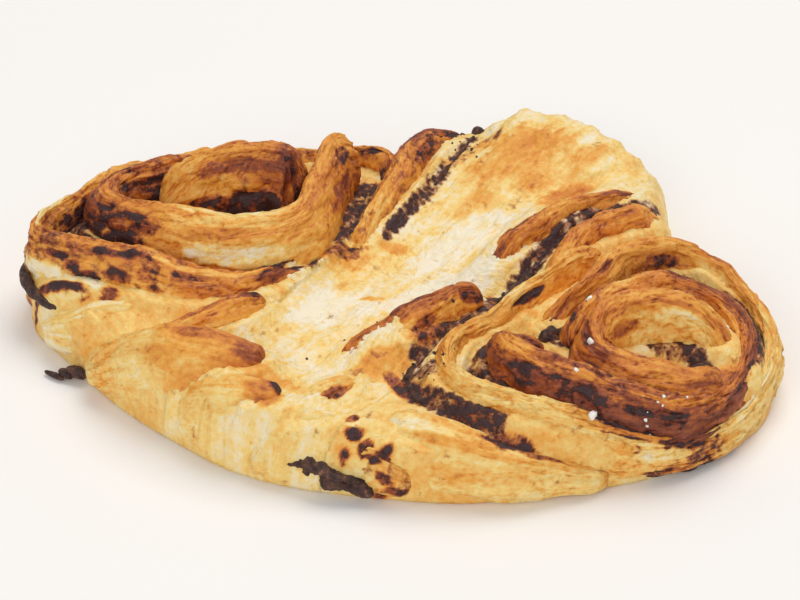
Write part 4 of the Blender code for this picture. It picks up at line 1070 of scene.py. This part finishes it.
def clod_grid(name, centre, radii, settings):
    """A clod of filling: an ellipsoid with lumps along its normals."""
    seed = sum(map(ord, name))
    ball = unit_ball(70, 120, 0.06)
    points = ball * radii + centre
    lumps = np.abs(fractal(points, min(3.8, 2 * max(radii)), 4, seed)) * 2.0 - 0.5
    points = points + ball * (settings.lumps / MM * min(1.0, min(radii) / 2) * lumps)[..., None]
    points[..., 2] = np.maximum(points[..., 2], LOWEST)
    return Grid(points, {})


class FRANZ_OT_filling(bpy.types.Operator):
    """Makes the chocolate filling that shows between the turns and at the edges"""

    bl_idname = "franz.filling"
    bl_label = "Filling"

    def execute(self, context):
        settings = context.scene.filling
        material = material_once("chocolate_filling_moist", moist_filling, settings)
        for name, route in {**FILLING_WALLS, **FILLING_LUMPS}.items():
            mesh_piece(name, [filling_grid(name, route, settings)], material, FILLING_NODE)
        clods = [clod_grid(f"clod {i}", *clod, settings) for i, clod in enumerate(CLODS)]
        mesh_piece("clods", clods, material, FILLING_NODE)
        return {"FINISHED"}


def scattered(spills, rng):
    """Places strewn around each spill's middle, as normal draws with its spread."""
    return [(x + rng.normal(0, r), y + rng.normal(0, r)) for x, y, r, count in spills for k in range(count)]


def grain_grids(places, width, rng, squareness):
    """Small grains: each is a stretched ball with few sides, turned and sized at random, half sunk into what
    it lies on."""
    grids = []
    ball = unit_ball(4, 6, 0.25)
    ball = np.sign(ball) * np.abs(ball) ** squareness
    for place in places:
        spin = Euler(rng.uniform(0, 6.3, 3)).to_matrix()
        size = width / 2 * rng.uniform(0.6, 1.35) * rng.uniform(0.7, 1.3, 3)
        points = (ball * size * rng.uniform(0.85, 1.15, ball.shape)) @ np.array(spin).T + place
        points[..., 2] = np.maximum(points[..., 2], LOWEST)
        grids.append(Grid(points, {}))
    return grids


def on_surface(xy):
    """The highest point of the pastry at each place, found by looking straight down."""
    scene = bpy.context.scene
    depsgraph = bpy.context.evaluated_depsgraph_get()
    found = []
    for x, y in xy:
        start = Vector(((x + TABLE_SHIFT[0]) * MM, (y + TABLE_SHIFT[1]) * MM, 0.1))
        hit, place = scene.ray_cast(depsgraph, start, Vector((0, 0, -1)))[:2]
        if hit:
            found.append((x, y, place.z / MM))
    return found


class FRANZ_OT_crumbs(bpy.types.Operator):
    """Makes the loose crumbs of filling and the coarse grains of sugar"""

    bl_idname = "franz.crumbs"
    bl_label = "Crumbs and sugar"

    def execute(self, context):
        settings = context.scene.crumbs
        rng = np.random.default_rng(settings.seed)
        coarse, fine = on_surface(SUGAR), on_surface(scattered(SUGAR_DUST, rng))
        crumbs = on_surface(scattered(CRUMB_SPILLS, rng))
        grains = grain_grids(coarse, 1.25 * settings.sugar / MM, rng, 0.5)
        grains += grain_grids(fine, 0.6 * settings.sugar / MM, rng, 0.5)
        mesh_piece("sugar_grains", grains, coarse_sugar(settings), DOUGH_NODE)
        crumbs = grain_grids(crumbs, settings.crumb / MM, rng, 1.0)
        filling = material_once("chocolate_filling_moist", moist_filling, context.scene.filling)
        mesh_piece("filling_crumbs", crumbs, filling, FILLING_NODE)
        return {"FINISHED"}


class FRANZ_OT_stage(bpy.types.Operator):
    """Makes the floor, the lights and the camera"""

    bl_idname = "franz.stage"
    bl_label = "Stage"

    def lamp(self, name, power, colour, size, place):
        """A rectangular soft lamp that faces the pastry."""
        light = bpy.data.lights.new(name, "AREA")
        light.shape = "RECTANGLE"
        light.size, light.size_y = size
        light.energy = power
        light.color = colour[:3]
        lamp = bpy.data.objects.new(name, light)
        bpy.context.scene.collection.objects.link(lamp)
        lamp.location = place
        lamp.rotation_euler = (-lamp.location).to_track_quat("-Z", "Y").to_euler()

    def execute(self, context):
        settings = context.scene.stage
        scene = context.scene
        mesh = bpy.data.meshes.new("floor")
        corners = [(x * FLOOR_HALF, y * FLOOR_HALF, 0) for x, y in ((-1, -1), (1, -1), (1, 1), (-1, 1))]
        mesh.from_pydata(corners, [], [(0, 1, 2, 3)])
        floor = bpy.data.objects.new("floor", mesh)
        scene.collection.objects.link(floor)
        paper = new_material("matt_paper")
        shader = node_with(paper.node_tree, "ShaderNodeBsdfPrincipled", {
            "Base Color": settings.floor, "Roughness": 0.9})
        node_with(paper.node_tree, "ShaderNodeOutputMaterial", links={"Surface": shader.outputs[0]})
        mesh.materials.append(paper)
        world = bpy.data.worlds.new("studio")
        scene.world = world
        world.use_nodes = True
        background = world.node_tree.nodes["Background"]
        background.inputs["Color"].default_value = settings.sky
        background.inputs["Strength"].default_value = settings.surround
        self.lamp("softbox", settings.key, settings.lamps, SOFTBOX_SIZE, SOFTBOX_PLACE)
        self.lamp("front_panel", settings.front, settings.lamps, FRONT_PANEL_SIZE, FRONT_PANEL_PLACE)
        back = Vector((
            math.sin(CAMERA_AZIMUTH) * math.cos(CAMERA_ELEVATION),
            -math.cos(CAMERA_AZIMUTH) * math.cos(CAMERA_ELEVATION), math.sin(CAMERA_ELEVATION)))
        lens = bpy.data.cameras.new("camera")
        lens.lens, lens.sensor_width = CAMERA_LENS, CAMERA_SENSOR
        lens.clip_start = 0.01
        camera = bpy.data.objects.new("camera", lens)
        scene.collection.objects.link(camera)
        camera.location = (Vector(CAMERA_TARGET) + back * CAMERA_DISTANCE) * MM
        camera.rotation_euler = (-back).to_track_quat("-Z", "Y").to_euler()
        scene.camera = camera
        scene.view_settings.view_transform = "Standard"
        return {"FINISHED"}


class FRANZ_PT_panel(bpy.types.Panel):
    """Lists the pieces in the sidebar"""

    bl_label = "Franzbrotchen"
    bl_idname = "FRANZ_PT_panel"
    bl_space_type = "VIEW_3D"
    bl_region_type = "UI"
    bl_category = "Franzbrotchen"

    def draw(self, context):
        for operator in OPERATORS:
            self.layout.operator(operator.bl_idname)


SETTINGS = {
    "dough": DoughSettings, "filling": FillingSettings, "crumbs": CrumbSettings, "stage": StageSettings}
OPERATORS = (
    FRANZ_OT_pressed_sheet, FRANZ_OT_left_coil, FRANZ_OT_right_coil, FRANZ_OT_front_folds,
    FRANZ_OT_filling, FRANZ_OT_crumbs, FRANZ_OT_stage)
CLASSES = (*SETTINGS.values(), *OPERATORS, FRANZ_PT_panel)


def register():
    """Registers the classes and gives the scene its settings."""
    for cls in CLASSES:
        bpy.utils.register_class(cls)
    for name, cls in SETTINGS.items():
        setattr(bpy.types.Scene, name, PointerProperty(type=cls))


def unregister():
    """Takes back what register did."""
    for name in SETTINGS:
        delattr(bpy.types.Scene, name)
    for cls in reversed(CLASSES):
        bpy.utils.unregister_class(cls)


def main():
    """Makes every piece and the stage."""
    register()
    for operator in OPERATORS:
        group, name = operator.bl_idname.split(".")
        getattr(getattr(bpy.ops, group), name)()


if __name__ == "__main__":
    main()
